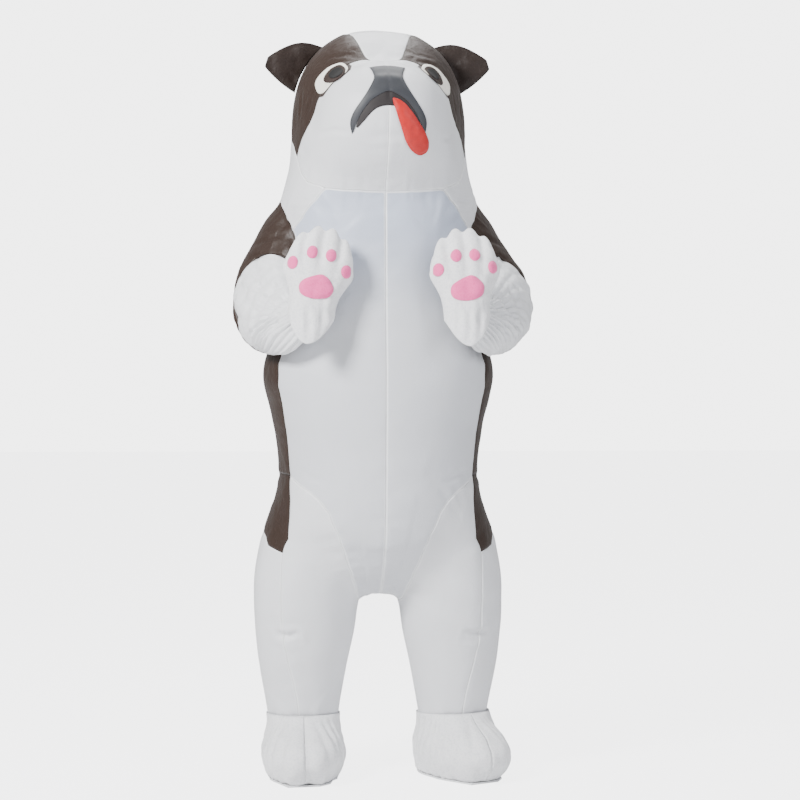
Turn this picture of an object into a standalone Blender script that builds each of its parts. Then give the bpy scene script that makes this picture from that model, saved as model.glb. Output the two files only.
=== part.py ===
"""An inflated dog costume, worn: hollow suit, head, sleeves, paw gloves and paw boots.

Metres, +Z up, the dog faces -Y. Heights in the tables are above the floor, and the
frame's origin is at the wearer's shoulders, shoulder_height above it.
"""

import math

import bmesh
import bpy
import numpy as np
from mathutils import Vector
from mathutils.bvhtree import BVHTree

for old in list(bpy.data.objects):
    bpy.data.objects.remove(old, do_unlink=True)

# Driving dimensions
shoulder_height = 1.36
cloth_wall = 0.0020
plush_wall = 0.0028
seam_gap = 0.00036
patch_lift = 0.0022
patch_wall = 0.0012
pad_lift = 0.0019
pad_wall = 0.0025
land_reach = 0.004

# Trunk from the crotch to the neck: height, half width, front depth, back depth
trunk_rows = np.array([
    (0.600, 0.225, 0.225, 0.225),
    (0.700, 0.236, 0.240, 0.238),
    (0.745, 0.233, 0.246, 0.243),
    (0.790, 0.249, 0.252, 0.248),
    (0.875, 0.262, 0.260, 0.255),
    (0.940, 0.279, 0.264, 0.258),
    (0.990, 0.291, 0.264, 0.260),
    (1.040, 0.282, 0.260, 0.258),
    (1.100, 0.256, 0.252, 0.252),
    (1.180, 0.238, 0.246, 0.246),
    (1.280, 0.240, 0.242, 0.242),
    (1.360, 0.246, 0.236, 0.238),
    (1.420, 0.247, 0.228, 0.236),
    (1.480, 0.225, 0.213, 0.228),
    (1.550, 0.203, 0.202, 0.218),
    (1.620, 0.195, 0.190, 0.210),
])

# Leg tube: height, centre across, half width, half depth, centre in depth
leg_rows = np.array([
    (0.020, 0.187, 0.080, 0.085, 0.010),
    (0.137, 0.187, 0.085, 0.092, 0.005),
    (0.275, 0.188, 0.111, 0.119, 0.000),
    (0.362, 0.183, 0.126, 0.134, 0.000),
    (0.430, 0.182, 0.130, 0.144, 0.000),
    (0.500, 0.179, 0.132, 0.153, 0.000),
    (0.600, 0.165, 0.124, 0.160, 0.000),
    (0.657, 0.150, 0.116, 0.165, 0.000),
    (0.720, 0.130, 0.103, 0.170, 0.000),
])

# Rounded lumps that make the seat and the head: centre, radii, squareness
seat_lump = ((0.0, 0.0, 0.700), (0.234, 0.240, 0.255), 2.1)
skull_lump = ((0.0, 0.010, 1.620), (0.214, 0.215, 0.230), 2.4)
muzzle_lump = ((0.0, -0.160, 1.612), (0.158, 0.180, 0.128), 2.4)
jaw_lump = ((0.0, -0.100, 1.522), (0.184, 0.190, 0.113), 2.2)
trunk_squareness = 2.1
leg_squareness = 2.1
limb_blend = 0.045
head_blend = 0.040

# Neck seam: angle round from the front in degrees, height
neck_rows = ((0, 1.422), (25, 1.430), (45, 1.450), (57, 1.476), (65, 1.528),
             (76, 1.562), (92, 1.588), (120, 1.600), (150, 1.600), (180, 1.600))
raglan_turn = 36
cheek_turn = 65
shoulder_turn_back = 110
side_turn_front = 63.5
side_turn_back = 118
waist_height = 0.745
crotch_half = 0.053
crotch_height = 0.436

# Armhole: angle round, height, from its top front corner
armhole_top = ((62, 1.340), (76, 1.402), (90, 1.422), (104, 1.402), (118, 1.340))
armhole_front = ((62, 1.340), (57, 1.285), (56, 1.230), (58, 1.175), (62, 1.125))
armhole_bottom = ((62, 1.125), (75, 1.088), (90, 1.078), (104, 1.088), (118, 1.125))

# Leg opening seam on the front of the belly: across, height
leg_opening = ((0.197, 0.724), (0.158, 0.700), (0.125, 0.648), (0.101, 0.587), (0.077, 0.525),
               (0.061, 0.472))
# Front edge of the brown hip piece, and its lower edge round to the seat: across, depth, height
hip_front = ((0.200, -0.12, 0.678), (0.204, -0.12, 0.620), (0.213, -0.12, 0.583),
             (0.231, -0.12, 0.556))
hip_lower = ((0.231, -0.12, 0.556), (0.254, -0.10, 0.560), (0.275, -0.06, 0.585),
             (0.292, -0.01, 0.617), (0.280, 0.06, 0.585), (0.230, 0.13, 0.550),
             (0.160, 0.19, 0.555), (0.101, 0.20, 0.587))
# Seams down the leg: across, depth, height
leg_front_seam = ((0.231, -0.12, 0.556), (0.234, -0.12, 0.490), (0.233, -0.11, 0.430),
                  (0.231, -0.10, 0.366), (0.219, -0.10, 0.285), (0.204, -0.09, 0.220),
                  (0.199, -0.09, 0.140))
leg_back_seam = ((0.101, 0.20, 0.587), (0.135, 0.16, 0.500), (0.160, 0.13, 0.420),
                 (0.178, 0.12, 0.300), (0.187, 0.09, 0.124))

# Sleeve: ring centre, its forward radius and its upward radius, from the armhole to the wrist
sleeve_rows = (
    (0.285, -0.016, 1.238, -0.070, -0.126, 0.0, 0.040, 0.000, 0.178),
    (0.312, -0.066, 1.168, -0.114, -0.102, 0.0, 0.000, 0.020, 0.190),
    (0.252, -0.146, 1.148, -0.084, -0.066, 0.0, 0.000, 0.020, 0.130),
    (0.251, -0.188, 1.140, -0.080, -0.052, 0.0, 0.000, 0.040, 0.120),
    (0.231, -0.228, 1.098, -0.064, -0.032, 0.0, 0.000, 0.055, 0.072),
    (0.192, -0.262, 1.106, -0.038, -0.004, 0.0, 0.000, 0.026, 0.022),
    (0.188, -0.287, 1.140, -0.030, 0.000, 0.0, 0.000, 0.018, 0.012),
)
sleeve_stations = (0.5, 1.2, 2.0, 3.0, 3.8, 4.6, 5.4, 6.2, 7.0)
sleeve_seam = 4
sleeve_clear = 0.006
sleeve_rounds = 10
# Elbow: how far each is let out, from which width, and the band of heights
elbow_reach = {"left": 0.046, "right": 0.024}
elbow_from, elbow_run = 0.235, 0.095
elbow_middle, elbow_tall = 1.160, 0.165
elbow_rows = 3
gather_width = 4
gather_deep = (0.0012, 0.0026, 0.0030, 0.0022)
ankle = (0.187, 0.005)

# Paw glove about the middle of its palm: share of the way up it, half width
glove_width = ((0.0, 0.056), (0.2, 0.056), (0.4, 0.059), (0.6, 0.071), (0.78, 0.085), (0.9, 0.088),
               (1.0, 0.078))
glove_deep = 0.037
glove_hem = (-0.135, -0.070, -0.016)
glove_toes = 4
glove_columns, glove_rows = 16, 7
palm_pad = ((-0.041, -0.004), (-0.033, 0.014), (-0.012, 0.023), (0.006, 0.033), (0.024, 0.026),
            (0.040, 0.008), (0.042, -0.008), (0.030, -0.022), (0.008, -0.028), (-0.018, -0.028),
            (-0.036, -0.020))
toe_pads = ((-0.064, 0.048), (-0.022, 0.079), (0.022, 0.079), (0.064, 0.048))
toe_pad_size = (0.0135, 0.0165)
pad_count, toe_pad_count = 14, 10
# Where each glove is held: middle of the palm, and its turn in degrees
glove_places = {"left": ((0.1846, -0.2862, 1.1907), 3.0), "right": ((-0.1698, -0.2856, 1.1930), -10.0)}

# Boot: middle of its lump, radii, how square, and how far each toe turns out
boot_middle = (0.187, -0.060, 0.060)
boot_radii = (0.106, 0.170, 0.082)
boot_power = 2.25
boot_turns = {"left": 20.0, "right": -1.0}
boot_columns, boot_rows = 12, 4
boot_top, boot_bottom = 0.148, 0.0044
boot_pleats = ((-34, 10, 0.007), (6, 9, 0.010), (38, 10, 0.007))
boot_slack = 0.0045
sole_wall = 0.004
bridge_count, lip_count = 4, 8

# Ear: top and foot of its base on the head, and its tip
ear_top = (0.148, 0.030, 1.832)
ear_foot = (0.218, 0.030, 1.702)
ear_tip = (0.279, 0.012, 1.774)
ear_puff = 0.010
ear_bulge_top, ear_bulge_low = 0.024, 0.005
ear_clear = 0.0005
ear_rows, ear_columns = 5, 6

zip_top, zip_bottom, zip_half = 1.575, 0.800, 0.013
zip_lift = 0.0024
fan_place = (150, 0.900)
fan_radii = (0.044, 0.056)
fan_count, ring_lift, fan_ring_wall = 20, 0.0012, 0.012
guard_clear, guard_lift, guard_wall = 0.0003, 0.0052, 0.004
slider_outline = ((-0.0055, 0.008), (0.0055, 0.008), (0.0045, -0.010), (-0.0045, -0.010))
slider_lift, slider_wall = 0.0048, 0.0045

# Face seams, one side: across, depth, height
muzzle_edge = ((0.186, -0.11, 1.560), (0.176, -0.15, 1.590), (0.166, -0.17, 1.617),
               (0.149, -0.18, 1.648), (0.128, -0.18, 1.680), (0.103, -0.19, 1.708),
               (0.075, -0.19, 1.732), (0.040, -0.20, 1.757))
blaze_edge = ((0.040, -0.20, 1.757), (0.064, -0.13, 1.803), (0.082, -0.04, 1.835),
              (0.080, 0.06, 1.840))
nose_outline = ((0.0864, 1.551), (0.0911, 1.578), (0.0850, 1.599), (0.0642, 1.628),
                (0.0455, 1.658), (0.0334, 1.680), (0.0334, 1.694), (0.0427, 1.713))
lip_arch = ((0.0864, 1.551), (0.0747, 1.579), (0.0607, 1.605), (0.0413, 1.629), (0.0175, 1.6435),
            (0.0, 1.651))
mouth_top = ((0.0765, 1.5665), (0.0700, 1.5800), (0.0580, 1.6045), (0.0395, 1.6280),
             (0.0165, 1.6420), (0.0, 1.6490))
mouth_bottom = ((0.0725, 1.5640), (0.0700, 1.567), (0.0584, 1.579), (0.0374, 1.604),
                (0.0187, 1.614), (0.0, 1.6155))
tongue_left = ((0.005, 1.634), (0.012, 1.612), (0.025, 1.573), (0.041, 1.531), (0.056, 1.512),
               (0.075, 1.504))
tongue_right = ((0.023, 1.630), (0.039, 1.619), (0.062, 1.591), (0.087, 1.556), (0.099, 1.534),
                (0.094, 1.513))
eye_outline = ((0.087, 1.727), (0.096, 1.707), (0.127, 1.688), (0.154, 1.659), (0.164, 1.685),
               (0.164, 1.701), (0.151, 1.717), (0.132, 1.733), (0.101, 1.743))
# Across, height, half width, half height and tilt in degrees
iris_shape = (0.1190, 1.7090, 0.0300, 0.0190, 45)
pupil_shape = (0.1160, 1.7110, 0.0180, 0.0135, 45)
iris_lift, pupil_lift, tongue_lift = 0.0056, 0.0080, 0.0056


def dense(rows, count=240):
    """A table read as a smooth curve through its rows, finely sampled."""
    rows = np.asarray(rows, float)
    if len(rows) < 3:
        return rows
    spans = len(rows) - 1
    t = np.linspace(0, spans, count + 1)
    i = np.minimum(t.astype(int), spans - 1)
    f = (t - i)[:, None]
    ends = np.vstack([2 * rows[0] - rows[1], rows, 2 * rows[-1] - rows[-2]])
    a, b, c, d = ends[i], ends[i + 1], ends[i + 2], ends[i + 3]
    return 0.5 * (2 * b + (c - a) * f + (2 * a - 5 * b + 4 * c - d) * f**2
                  + (3 * b - a - 3 * c + d) * f**3)


def evenly(points, count, smooth=True):
    """count + 1 points along a curve, or along its straight pieces, evenly by length."""
    fine = dense(points) if smooth else np.asarray(points, float)
    steps = np.linalg.norm(np.diff(fine, axis=0), axis=1)
    reach = np.concatenate([[0], np.cumsum(steps)])
    at = reach[-1] * np.linspace(0, 1, count + 1)
    return np.stack([np.interp(at, reach, fine[:, k]) for k in range(fine.shape[1])], axis=1)


trunk_fine = dense(trunk_rows)
leg_fine = dense(leg_rows)
neck_fine = dense(neck_rows)


def read(table, height, column):
    return np.interp(height, table[:, 0], table[:, column])


def round_blend(first, second, width):
    """The union of two fields, filled softly where they meet."""
    share = np.clip(0.5 + 0.5 * (second - first) / width, 0, 1)
    return second * (1 - share) + first * share - width * share * (1 - share)


def lump(p, shape):
    centre, radii, power = shape
    q = np.abs((p - np.array(centre)) / np.array(radii))
    return ((q**power).sum(axis=1) ** (1 / power) - 1) * min(radii)


def trunk(p):
    across = read(trunk_fine, p[:, 2], 1)
    depth = np.where(p[:, 1] < 0, read(trunk_fine, p[:, 2], 2), read(trunk_fine, p[:, 2], 3))
    n = trunk_squareness
    q = (np.abs(p[:, 0] / across) ** n + np.abs(p[:, 1] / depth) ** n) ** (1 / n)
    body = (q - 1) * np.minimum(across, depth)
    ends = np.maximum(trunk_rows[0, 0] - p[:, 2], p[:, 2] - trunk_rows[-1, 0])
    return np.maximum(body, ends)


def leg(p, side):
    n = leg_squareness
    x = (p[:, 0] - side * read(leg_fine, p[:, 2], 1)) / read(leg_fine, p[:, 2], 2)
    y = (p[:, 1] - read(leg_fine, p[:, 2], 4)) / read(leg_fine, p[:, 2], 3)
    tube = ((np.abs(x) ** n + np.abs(y) ** n) ** (1 / n) - 1) * read(leg_fine, p[:, 2], 2)
    return np.maximum(tube, p[:, 2] - leg_rows[-1, 0])


def body_form(p):
    """Signed field of the inflated suit: below 0 inside it, 0 on the cloth."""
    form = round_blend(trunk(p), lump(p, seat_lump), limb_blend)
    head = round_blend(lump(p, skull_lump), lump(p, muzzle_lump), head_blend)
    head = round_blend(head, lump(p, jaw_lump), head_blend)
    form = round_blend(form, head, head_blend)
    legs = np.minimum(leg(p, 1), leg(p, -1))
    return round_blend(form, legs, limb_blend)


def slope(field, p, step=0.0004):
    parts = []
    for k in range(3):
        d = np.zeros(3)
        d[k] = step
        parts.append((field(p + d) - field(p - d)) / (2 * step))
    return np.stack(parts, axis=1)


def outward(field, p):
    g = slope(field, p)
    return g / np.linalg.norm(g, axis=1)[:, None]


def settle(field, p, rounds=14, level=0.0):
    """Points moved onto the field's surface, or onto the surface level metres outside it."""
    p = np.array(p, float)
    for _ in range(rounds):
        g = slope(field, p)
        size = np.maximum((g**2).sum(axis=1), 0.05)
        move = ((field(p) - level) / size)[:, None] * g
        far = np.maximum(np.linalg.norm(move, axis=1)[:, None] / 0.03, 1)
        p = p - move / far
    return p


def shoot(field, start, way, reach=0.6):
    """Where rays from inside the form come out through its surface."""
    start = np.atleast_2d(np.array(start, float))
    way = np.array(way, float)
    near, far = np.zeros(len(start)), np.full(len(start), reach)
    for _ in range(34):
        mid = (near + far) / 2
        inside = field(start + way * mid[:, None]) < 0
        near, far = np.where(inside, mid, near), np.where(inside, far, mid)
    return start + way * ((near + far) / 2)[:, None]


def round_body(turns, heights):
    """Points on the suit at angles round its upright axis, 0 in front, at these heights."""
    a = np.radians(np.asarray(turns, float))
    way = np.stack([np.sin(a), -np.cos(a), np.zeros_like(a)], axis=1)
    start = np.stack([np.zeros_like(a), np.zeros_like(a), np.asarray(heights, float)], axis=1)
    return shoot(body_form, start, way)


def round_line(rows, count):
    rows = evenly(np.array(rows, float) / np.array([180.0, 1.0]), count)
    return round_body(rows[:, 0] * 180.0, rows[:, 1])


def body_line(points, count):
    return settle(body_form, evenly(points, count))


def shares(one, two):
    """How far along two facing edges their points lie on average, 0 to 1."""
    run = np.linalg.norm(np.diff(one, axis=0), axis=1) + np.linalg.norm(np.diff(two, axis=0), axis=1)
    return np.concatenate([[0], np.cumsum(run)]) / run.sum()


def coons(top, bottom, left, right):
    """Points spread between four edges: left and right run from top to bottom."""
    v, u = shares(left, right)[:, None, None], shares(top, bottom)[None, :, None]
    sides = (1 - u) * left[:, None] + u * right[:, None]
    ends = (1 - v) * top[None] + v * bottom[None]
    corners = ((1 - u) * (1 - v) * top[0] + u * (1 - v) * top[-1]
               + (1 - u) * v * bottom[0] + u * v * bottom[-1])
    return sides + ends - corners


def patch(field, top, bottom, left, right):
    """A cloth panel's outer points: its four seams, and the inside settled on the form."""
    grid = coons(top, bottom, left, right)
    inner = grid[1:-1, 1:-1]
    grid[1:-1, 1:-1] = settle(field, inner.reshape(-1, 3)).reshape(inner.shape)
    return grid


def material(name, colour, rough):
    made = bpy.data.materials.get(name) or bpy.data.materials.new(name)
    made.use_nodes = True
    shader = made.node_tree.nodes["Principled BSDF"]
    shader.inputs["Base Color"].default_value = (*colour, 1)
    shader.inputs["Roughness"].default_value = rough
    shader.inputs["Metallic"].default_value = 0.0
    return made


white_cloth = material("white_taffeta", (0.78, 0.79, 0.82), 0.45)
brown_cloth = material("brown_taffeta", (0.09, 0.055, 0.05), 0.5)
grey_cloth = material("grey_cloth", (0.10, 0.10, 0.11), 0.55)
dark_cloth = material("dark_cloth", (0.035, 0.03, 0.035), 0.6)
red_cloth = material("red_cloth", (0.75, 0.04, 0.03), 0.5)
plush = material("white_plush", (0.82, 0.82, 0.83), 0.9)
pink_plush = material("pink_plush", (0.9, 0.35, 0.55), 0.85)
eye_white = material("eye_white", (0.88, 0.86, 0.78), 0.5)
brown_iris = material("brown_iris", (0.13, 0.08, 0.06), 0.5)
black_cloth = material("black_cloth", (0.02, 0.018, 0.018), 0.5)
black_plastic = material("black_plastic", (0.02, 0.02, 0.02), 0.4)


def add_object(name, bm, skin):
    mesh = bpy.data.meshes.new(name)
    bmesh.ops.recalc_face_normals(bm, faces=bm.faces)
    bm.to_mesh(mesh)
    bm.free()
    mesh.materials.append(skin)
    mesh.shade_smooth()
    mesh.set_sharp_from_angle(angle=math.radians(50))
    made = bpy.data.objects.new(name, mesh)
    bpy.context.scene.collection.objects.link(made)
    return made


def grid_faces(rows, columns, closed=False):
    """The faces of a grid of points, row after row; closed joins the last column to the first."""
    faces = []
    for i in range(rows - 1):
        for j in range(columns if closed else columns - 1):
            n = (j + 1) % columns
            faces.append((i * columns + j, i * columns + n, (i + 1) * columns + n, (i + 1) * columns + j))
    return faces


def halves(points, f):
    """A four-sided face cut in two along its shorter diagonal."""
    if len(f) == 3:
        return [f]
    if np.linalg.norm(points[f[0]] - points[f[2]]) <= np.linalg.norm(points[f[1]] - points[f[3]]):
        return [(f[0], f[1], f[2]), (f[0], f[2], f[3])]
    return [(f[0], f[1], f[3]), (f[1], f[2], f[3])]


def rim_edges(faces):
    """The edges with a face on one side only, each running round the panel as its face does."""
    sides = {(f[k - 1], f[k]) for f in faces for k in range(len(f))}
    return [edge for edge in sides if edge[::-1] not in sides]


def cloth(name, points, faces, way, skin, thick):
    """A panel as one closed solid: its edge drawn in by half the seam's gap, its wall inwards."""
    facing = 0.0
    for f in faces:
        facing += float(np.cross(points[f[1]] - points[f[0]], points[f[2]] - points[f[0]]) @ way[f[0]])
    if facing < 0:
        faces = [f[::-1] for f in faces]
    faces = [piece for f in faces for piece in halves(points, f)]
    rim = rim_edges(faces)
    after = dict(rim)
    before = {end: start for start, end in rim}
    outer = points.copy()
    for v in after:
        one = np.cross(way[v], points[v] - points[before[v]])
        two = np.cross(way[v], points[after[v]] - points[v])
        one, two = one / np.linalg.norm(one), two / np.linalg.norm(two)
        outer[v] += (one + two) / max(1 + float(one @ two), 0.3) * seam_gap / 2
    inner = outer - way * thick
    bm = bmesh.new()
    lower = np.array([0, 0, shoulder_height])
    skins = [[bm.verts.new(q - lower) for q in side] for side in (outer, inner)]
    for f in faces:
        bm.faces.new([skins[0][v] for v in f])
        bm.faces.new([skins[1][v] for v in f[::-1]])
    both = skins[0] + skins[1]
    places = np.vstack([outer, inner])
    for start, end in rim:
        for piece in halves(places, (end, start, start + len(outer), end + len(outer))):
            bm.faces.new([both[v] for v in piece])
    return add_object(name, bm, skin)


def flip(points):
    return points * np.array([-1.0, 1.0, 1.0])


def mirror(grid):
    return grid[:, ::-1] * np.array([-1.0, 1.0, 1.0])


def panel(name, grid, field, skin, thick=cloth_wall):
    """A cloth panel from a grid of outer points."""
    flat = grid.reshape(-1, 3)
    cloth(name, flat, grid_faces(*grid.shape[:2]), outward(field, flat), skin, thick)


def pair(name, grid, field, skin, thick=cloth_wall):
    """The same panel on the right and, mirrored, on the left."""
    panel(name + "_left", grid, field, skin, thick)
    panel(name + "_right", mirror(grid), field, skin, thick)


# How many faces lie along each seam
belly_columns = 6
shoulder_columns = 8
back_columns = 6
raglan_count, armhole_count, side_count, opening_count = 3, 8, 7, 9
hip_count = 5
leg_count = 9
head_count = 10
smooth_rounds = 8
blaze_columns = 2


def neck_height(turn):
    return np.interp(turn, neck_fine[:, 0], neck_fine[:, 1])


# Seams shared by the panels of one half
front_turns = np.linspace(0, raglan_turn, belly_columns + 1)
neck_front = round_body(front_turns, neck_height(front_turns))
side_turns = np.concatenate([np.linspace(raglan_turn, cheek_turn, 5),
                             np.linspace(cheek_turn, shoulder_turn_back, 5)[1:]])
neck_side = round_body(side_turns, neck_height(side_turns))
back_turns = np.linspace(shoulder_turn_back, 180, back_columns + 1)
neck_back = round_body(back_turns, neck_height(back_turns))

raglan_front = round_line([(raglan_turn, neck_height(raglan_turn)), (50, 1.385), (62, 1.340)], raglan_count)
raglan_back = round_line([(shoulder_turn_back, neck_height(shoulder_turn_back)), (116, 1.460), (118, 1.340)],
                         raglan_count)
arm_front = round_line(armhole_front, armhole_count)
arm_back = round_line([(180 - t, h) for t, h in armhole_front], armhole_count)
arm_top = round_line(armhole_top, shoulder_columns)
arm_bottom = round_line(armhole_bottom, shoulder_columns)
side_front = round_line([(62, 1.125), (63, 0.99), (63.5, 0.87), (side_turn_front, waist_height)],
                        side_count)
side_back = round_line([(118, 1.125), (118, 0.99), (118, 0.87), (side_turn_back, waist_height)],
                       side_count)
waist_turns = np.linspace(side_turn_front, side_turn_back, shoulder_columns + 1)
waist = round_body(waist_turns, np.full(len(waist_turns), waist_height))


def opening_seam(start, way):
    """The leg opening on the trunk, from the waist down to the crotch, in front or behind."""
    rows = [start]
    for across, height in leg_opening:
        rows.append(shoot(body_form, (across, 0.0, height), (0, way, 0))[0])
    rows.append((crotch_half + 0.003, way * 0.075, crotch_height + 0.008))
    rows.append((crotch_half, 0.0, crotch_height))
    line = evenly(rows, opening_count)
    line[1:] = settle(body_form, line[1:])
    return line


opening_front = opening_seam(waist[0], -1)
opening_back = opening_seam(waist[-1], 1)
opening_back[-1] = opening_front[-1]
seat_corner = opening_back[hip_count]


def centre_line(edge, way):
    """The centre seam, level with the side edge above the waist and round under the crotch."""
    heights = edge[:, 2]
    above = len(heights) - opening_count
    turn = 0 if way < 0 else 180
    points = list(round_body(np.full(above, turn), heights[:above]))
    under = [points[-1], (0, way * 0.240, 0.690), (0, way * 0.222, 0.610), (0, way * 0.180, 0.535),
             (0, way * 0.110, 0.475), (0, way * 0.050, 0.455), (0, 0.0, 0.450)]
    below = evenly(under, opening_count)
    below[1:] = settle(body_form, below[1:])
    return np.vstack([points, below[1:]])


def joined(*lines):
    return np.vstack([lines[0]] + [line[1:] for line in lines[1:]])


belly_edge = joined(raglan_front, arm_front, side_front, opening_front)
back_edge = joined(raglan_back, arm_back, side_back, opening_back)
centre_front = centre_line(belly_edge, -1)
centre_front[0] = neck_front[0]
centre_back = centre_line(back_edge, 1)
centre_back[0] = neck_back[-1]
centre_back[-1] = centre_front[-1]
crotch_front = settle(body_form, np.linspace(centre_front[-1], belly_edge[-1], belly_columns + 1))
crotch_front[0], crotch_front[-1] = centre_front[-1], belly_edge[-1]
crotch_back = settle(body_form, np.linspace(belly_edge[-1], centre_front[-1], back_columns + 1))
crotch_back[0], crotch_back[-1] = belly_edge[-1], centre_front[-1]

# Trunk panels
pair("belly", patch(body_form, neck_front, crotch_front, centre_front, belly_edge), body_form, white_cloth)
pair("shoulder", patch(body_form, neck_side, arm_top, raglan_front, raglan_back), body_form, white_cloth)
pair("side", patch(body_form, arm_bottom, waist, side_front, side_back), body_form, brown_cloth)
pair("back", patch(body_form, neck_back, crotch_back, back_edge, centre_back), body_form, brown_cloth)

# Leg panels
hip_front_line = body_line([waist[0], *hip_front], hip_count)
hip_front_line[0] = waist[0]
hip_lower_line = body_line([*hip_lower[:-1], seat_corner], shoulder_columns)
hip_lower_line[0], hip_lower_line[-1] = hip_front_line[-1], seat_corner
front_down = body_line([hip_front_line[-1], *leg_front_seam[1:]], leg_count)
front_down[0] = hip_front_line[-1]
back_down = body_line([seat_corner, *leg_back_seam[1:]], leg_count)
back_down[0] = seat_corner


def ankle_line(start, finish, way, count):
    """Half of the leg's hem, from the front of the leg to its back, on one side of it."""
    a0 = math.atan2(start[0] - ankle[0], -(start[1] - ankle[1]))
    a1 = math.atan2(finish[0] - ankle[0], -(finish[1] - ankle[1]))
    a1 += 2 * math.pi if way > 0 and a1 < a0 else 0
    a1 -= 2 * math.pi if way < 0 and a1 > a0 else 0
    t = np.linspace(0, 1, count + 1)
    a = a0 + (a1 - a0) * t
    h = start[2] + (finish[2] - start[2]) * (0.5 - 0.5 * np.cos(math.pi * t))
    origin = np.stack([np.full(len(t), ankle[0]), np.full(len(t), ankle[1]), h], axis=1)
    ray = np.stack([np.sin(a), -np.cos(a), np.zeros(len(t))], axis=1)
    line = shoot(body_form, origin, ray, 0.16)
    line[0], line[-1] = start, finish
    return line


ankle_outer = ankle_line(front_down[-1], back_down[-1], 1, shoulder_columns)
pair("hip", patch(body_form, waist, hip_lower_line, hip_front_line, opening_back[:hip_count + 1]),
     body_form, brown_cloth)
pair("leg_outer", patch(body_form, hip_lower_line, ankle_outer, front_down, back_down),
     body_form, white_cloth)


def leg_inner_panel():
    """The inner leg: a wedge up between the hip and the belly, and a grid below it."""
    thigh = settle(body_form, np.linspace(hip_front_line[-1], opening_front[hip_count], hip_count + 1))
    top = joined(thigh, opening_front[hip_count:], opening_back[hip_count:][::-1])
    hem = ankle_line(front_down[-1], back_down[-1], -1, len(top) - 1)
    grid = coons(top, hem, front_down, back_down)
    points = list(grid.reshape(-1, 3))
    columns = len(top)
    faces = grid_faces(leg_count + 1, columns)
    rows = [list(range(hip_count + 1))]
    for i in range(hip_count - 1, -1, -1):
        line = np.linspace(hip_front_line[i], opening_front[i], i + 1)
        rows.append(list(range(len(points), len(points) + i + 1)))
        points += list(line)
    for low, high in zip(rows, rows[1:]):
        for j in range(len(high)):
            faces.append((low[j], low[j + 1], high[j]))
            if j + 1 < len(high):
                faces.append((high[j], low[j + 1], high[j + 1]))
    faces = [f[::-1] if k < leg_count * (columns - 1) else f for k, f in enumerate(faces)]
    points = np.array(points)
    rim = {v for edge in rim_edges(faces) for v in edge}
    free = [v for v in range(len(points)) if v not in rim]
    beside = {v: set() for v in free}
    for f in faces:
        for k, v in enumerate(f):
            if v in beside:
                beside[v] |= {f[k - 1], f[(k + 1) % len(f)]}
    for _ in range(smooth_rounds):
        mean = np.array([points[list(beside[v])].mean(axis=0) for v in free])
        points[free] = settle(body_form, 0.4 * points[free] + 0.6 * mean, 4)
    points[free] = settle(body_form, points[free])
    way = outward(body_form, points)
    cloth("leg_inner_left", points, faces, way, white_cloth, cloth_wall)
    cloth("leg_inner_right", flip(points), faces, flip(way), white_cloth, cloth_wall)


leg_inner_panel()

# Head panels
cheek_up = body_line([neck_side[4], *muzzle_edge], head_count)
cheek_up[0] = neck_side[4]
brow_corner = cheek_up[-1]
face_centre = settle(body_form, evenly([neck_front[0], (0, -0.270, 1.480), (0, -0.340, 1.600),
                                        (0, -0.270, 1.700), (0, -0.215, 1.757)], head_count))
face_centre[0] = neck_front[0]
brow_line = settle(body_form, np.linspace(face_centre[-1], brow_corner, blaze_columns + 1))
brow_line[0], brow_line[-1] = face_centre[-1], brow_corner
blaze_side = body_line([brow_corner, *blaze_edge[1:]], shoulder_columns)
blaze_side[0] = brow_corner
blaze_back = body_line([blaze_side[-1], (0.078, 0.15, 1.810), (0.076, 0.225, 1.700), neck_back[4]],
                       head_count)
blaze_back[0], blaze_back[-1] = blaze_side[-1], neck_back[4]
crown_line = settle(body_form, evenly([face_centre[-1], (0, -0.11, 1.820), (0, 0.00, 1.850),
                                       (0, 0.15, 1.820), (0, 0.230, 1.700), neck_back[-1]],
                                      shoulder_columns + head_count))
crown_line[0], crown_line[-1] = face_centre[-1], neck_back[-1]
cheek_bottom = joined(neck_front, neck_side[:5])


def cheek_top_line():
    """The brow seam's points at first, then on along the blaze's foot, as many as the neck's."""
    line = evenly(brow_line, len(cheek_bottom) - 1)
    line = settle(body_form, line)
    line[0], line[-1] = brow_line[0], brow_line[-1]
    return line


cheek_top = cheek_top_line()
pair("cheek", patch(body_form, cheek_top, cheek_bottom, face_centre[::-1], cheek_up[::-1]),
     body_form, white_cloth)
hood_bottom = joined(neck_side[4:], neck_back[:5])
pair("hood", patch(body_form, blaze_side, hood_bottom, cheek_up[::-1], blaze_back), body_form, brown_cloth)
blaze_edge_line = joined(blaze_side, blaze_back)
blaze_right = patch(body_form, cheek_top[::5], neck_back[4:][::-1], crown_line, blaze_edge_line)
panel("blaze", np.hstack([mirror(blaze_right), blaze_right[:, 1:]]), body_form, white_cloth)

# Sleeves
arm_loop = joined(arm_top, arm_back, arm_bottom[::-1], arm_front[::-1])[:-1]
loop_centre = arm_loop.mean(axis=0)
loop_angle = np.arctan2((arm_loop[:, 2] - loop_centre[2]) / 0.170, -(arm_loop[:, 1] - loop_centre[1]) / 0.130)


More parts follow.
